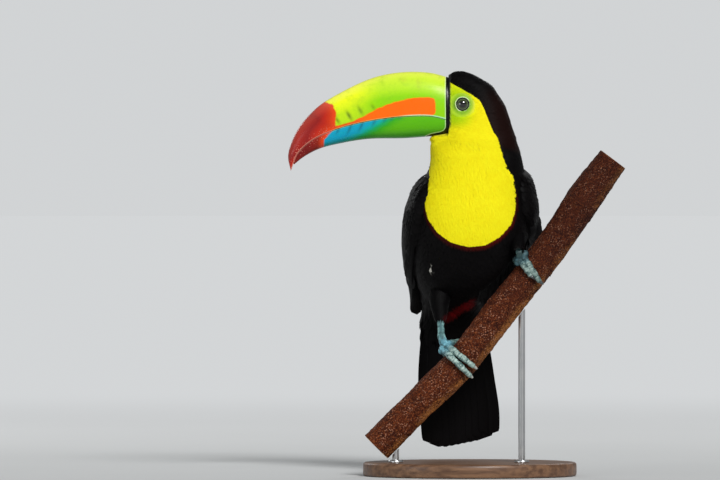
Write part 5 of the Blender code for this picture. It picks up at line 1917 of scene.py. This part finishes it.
def add_disc_light(name, place, size, power, colour=(1.0, 1.0, 1.0)):
    """Round soft light that shines on the bird."""
    add_light(name, "AREA", place, Vector(place) - Vector(LIGHT_TARGET), power, shape="DISK", size=size,
              color=colour)


def make_studio():
    """Pale floor, soft lights and the camera."""
    reach = (1.0, 300.0, 1500.0, 20000.0)
    rings = lathe_rings((0.0, 0.0), (reach, reach), [-0.4] * 4, 64)
    under = rings[::-1] - np.array((0.0, 0.0, 20.0))
    floor = add_tubes("studio_floor", [np.concatenate((rings, under))])
    floor.data.materials.append(floor_material())
    world = bpy.data.worlds.new("studio")
    world.use_nodes = True
    seen = put(world.node_tree, "LightPath", output="Is Camera Ray")
    strength = put(world.node_tree, "MapRange", {"Value": seen, "To Min": 0.38, "To Max": 1.0})
    feed(world.node_tree.nodes["Background"], Color=(*BACKDROP, 1.0), Strength=strength)
    bpy.context.scene.world = world
    add_light("day", "SUN", (0.0, 0.0, 0.0), (0.35, -1.0, 0.72), 2.75, angle=math.radians(16.0))
    add_disc_light("fill", (-1.7, -1.5, 0.5), 1.0, 7.0, (0.94, 0.97, 1.0))
    add_disc_light("rim", (0.7, 1.3, 1.1), 0.5, 4.0)
    add_disc_light("back", (-1.1, 1.4, 0.8), 0.6, 4.0)
    data = bpy.data.cameras.new("camera")
    data.sensor_width = 36.0
    data.lens = 36.0 * CAMERA_DISTANCE / FRAME_WIDTH
    data.clip_start = 0.05
    data.clip_end = 60.0
    rise = math.radians(CAMERA_RISE)
    target = Vector((FRAME_MIDDLE[0], BRANCH_Y, FRAME_MIDDLE[1])) * MM
    back = Vector((0.0, -math.cos(rise), math.sin(rise)))
    bpy.context.scene.camera = add_aimed(data, target + back * CAMERA_DISTANCE * MM, back)
    bpy.context.scene.view_settings.view_transform = "Standard"


def main():
    make_mottle()
    make_barbs()
    make_markings()
    fine = plumage_material("fine_plumage", 8.0, 0.05)
    coarse = plumage_material("broad_plumage", 18.0, 0.08)
    vanes = plumage_material("long_vanes", 60.0, 0.10)
    make_skin(skin_material())
    make_coat(fine, coarse)
    make_thigh_feathers(coarse)
    for side in SIDE_SIGN:
        make_wing(side, coarse, vanes)
    make_tail(vanes)
    make_bill(upper_bill_material(), lower_bill_material())
    gloss = eye_material()
    lid_skin = lid_material()
    scutes = foot_material()
    # The same claw horn twice, as painted light: a darker shaded copy for the left foot under the belly, and
    # a paler lit copy for the right foot.
    horn = {"left": claw_material("dark_claw_horn", (0.09, 0.11, 0.11), (0.010, 0.011, 0.012),
                                  (0.035, 0.036, 0.037)),
            "right": claw_material("pale_claw_horn", (0.30, 0.34, 0.32), (0.62, 0.62, 0.56),
                                   (0.42, 0.44, 0.40))}
    for side in SIDE_SIGN:
        make_eye(side, gloss, lid_skin)
        make_foot(side, scutes, horn[side])
    make_branch(bark_material(), cut_wood_material())
    make_stand(base_material(), steel_material())
    make_studio()


main()
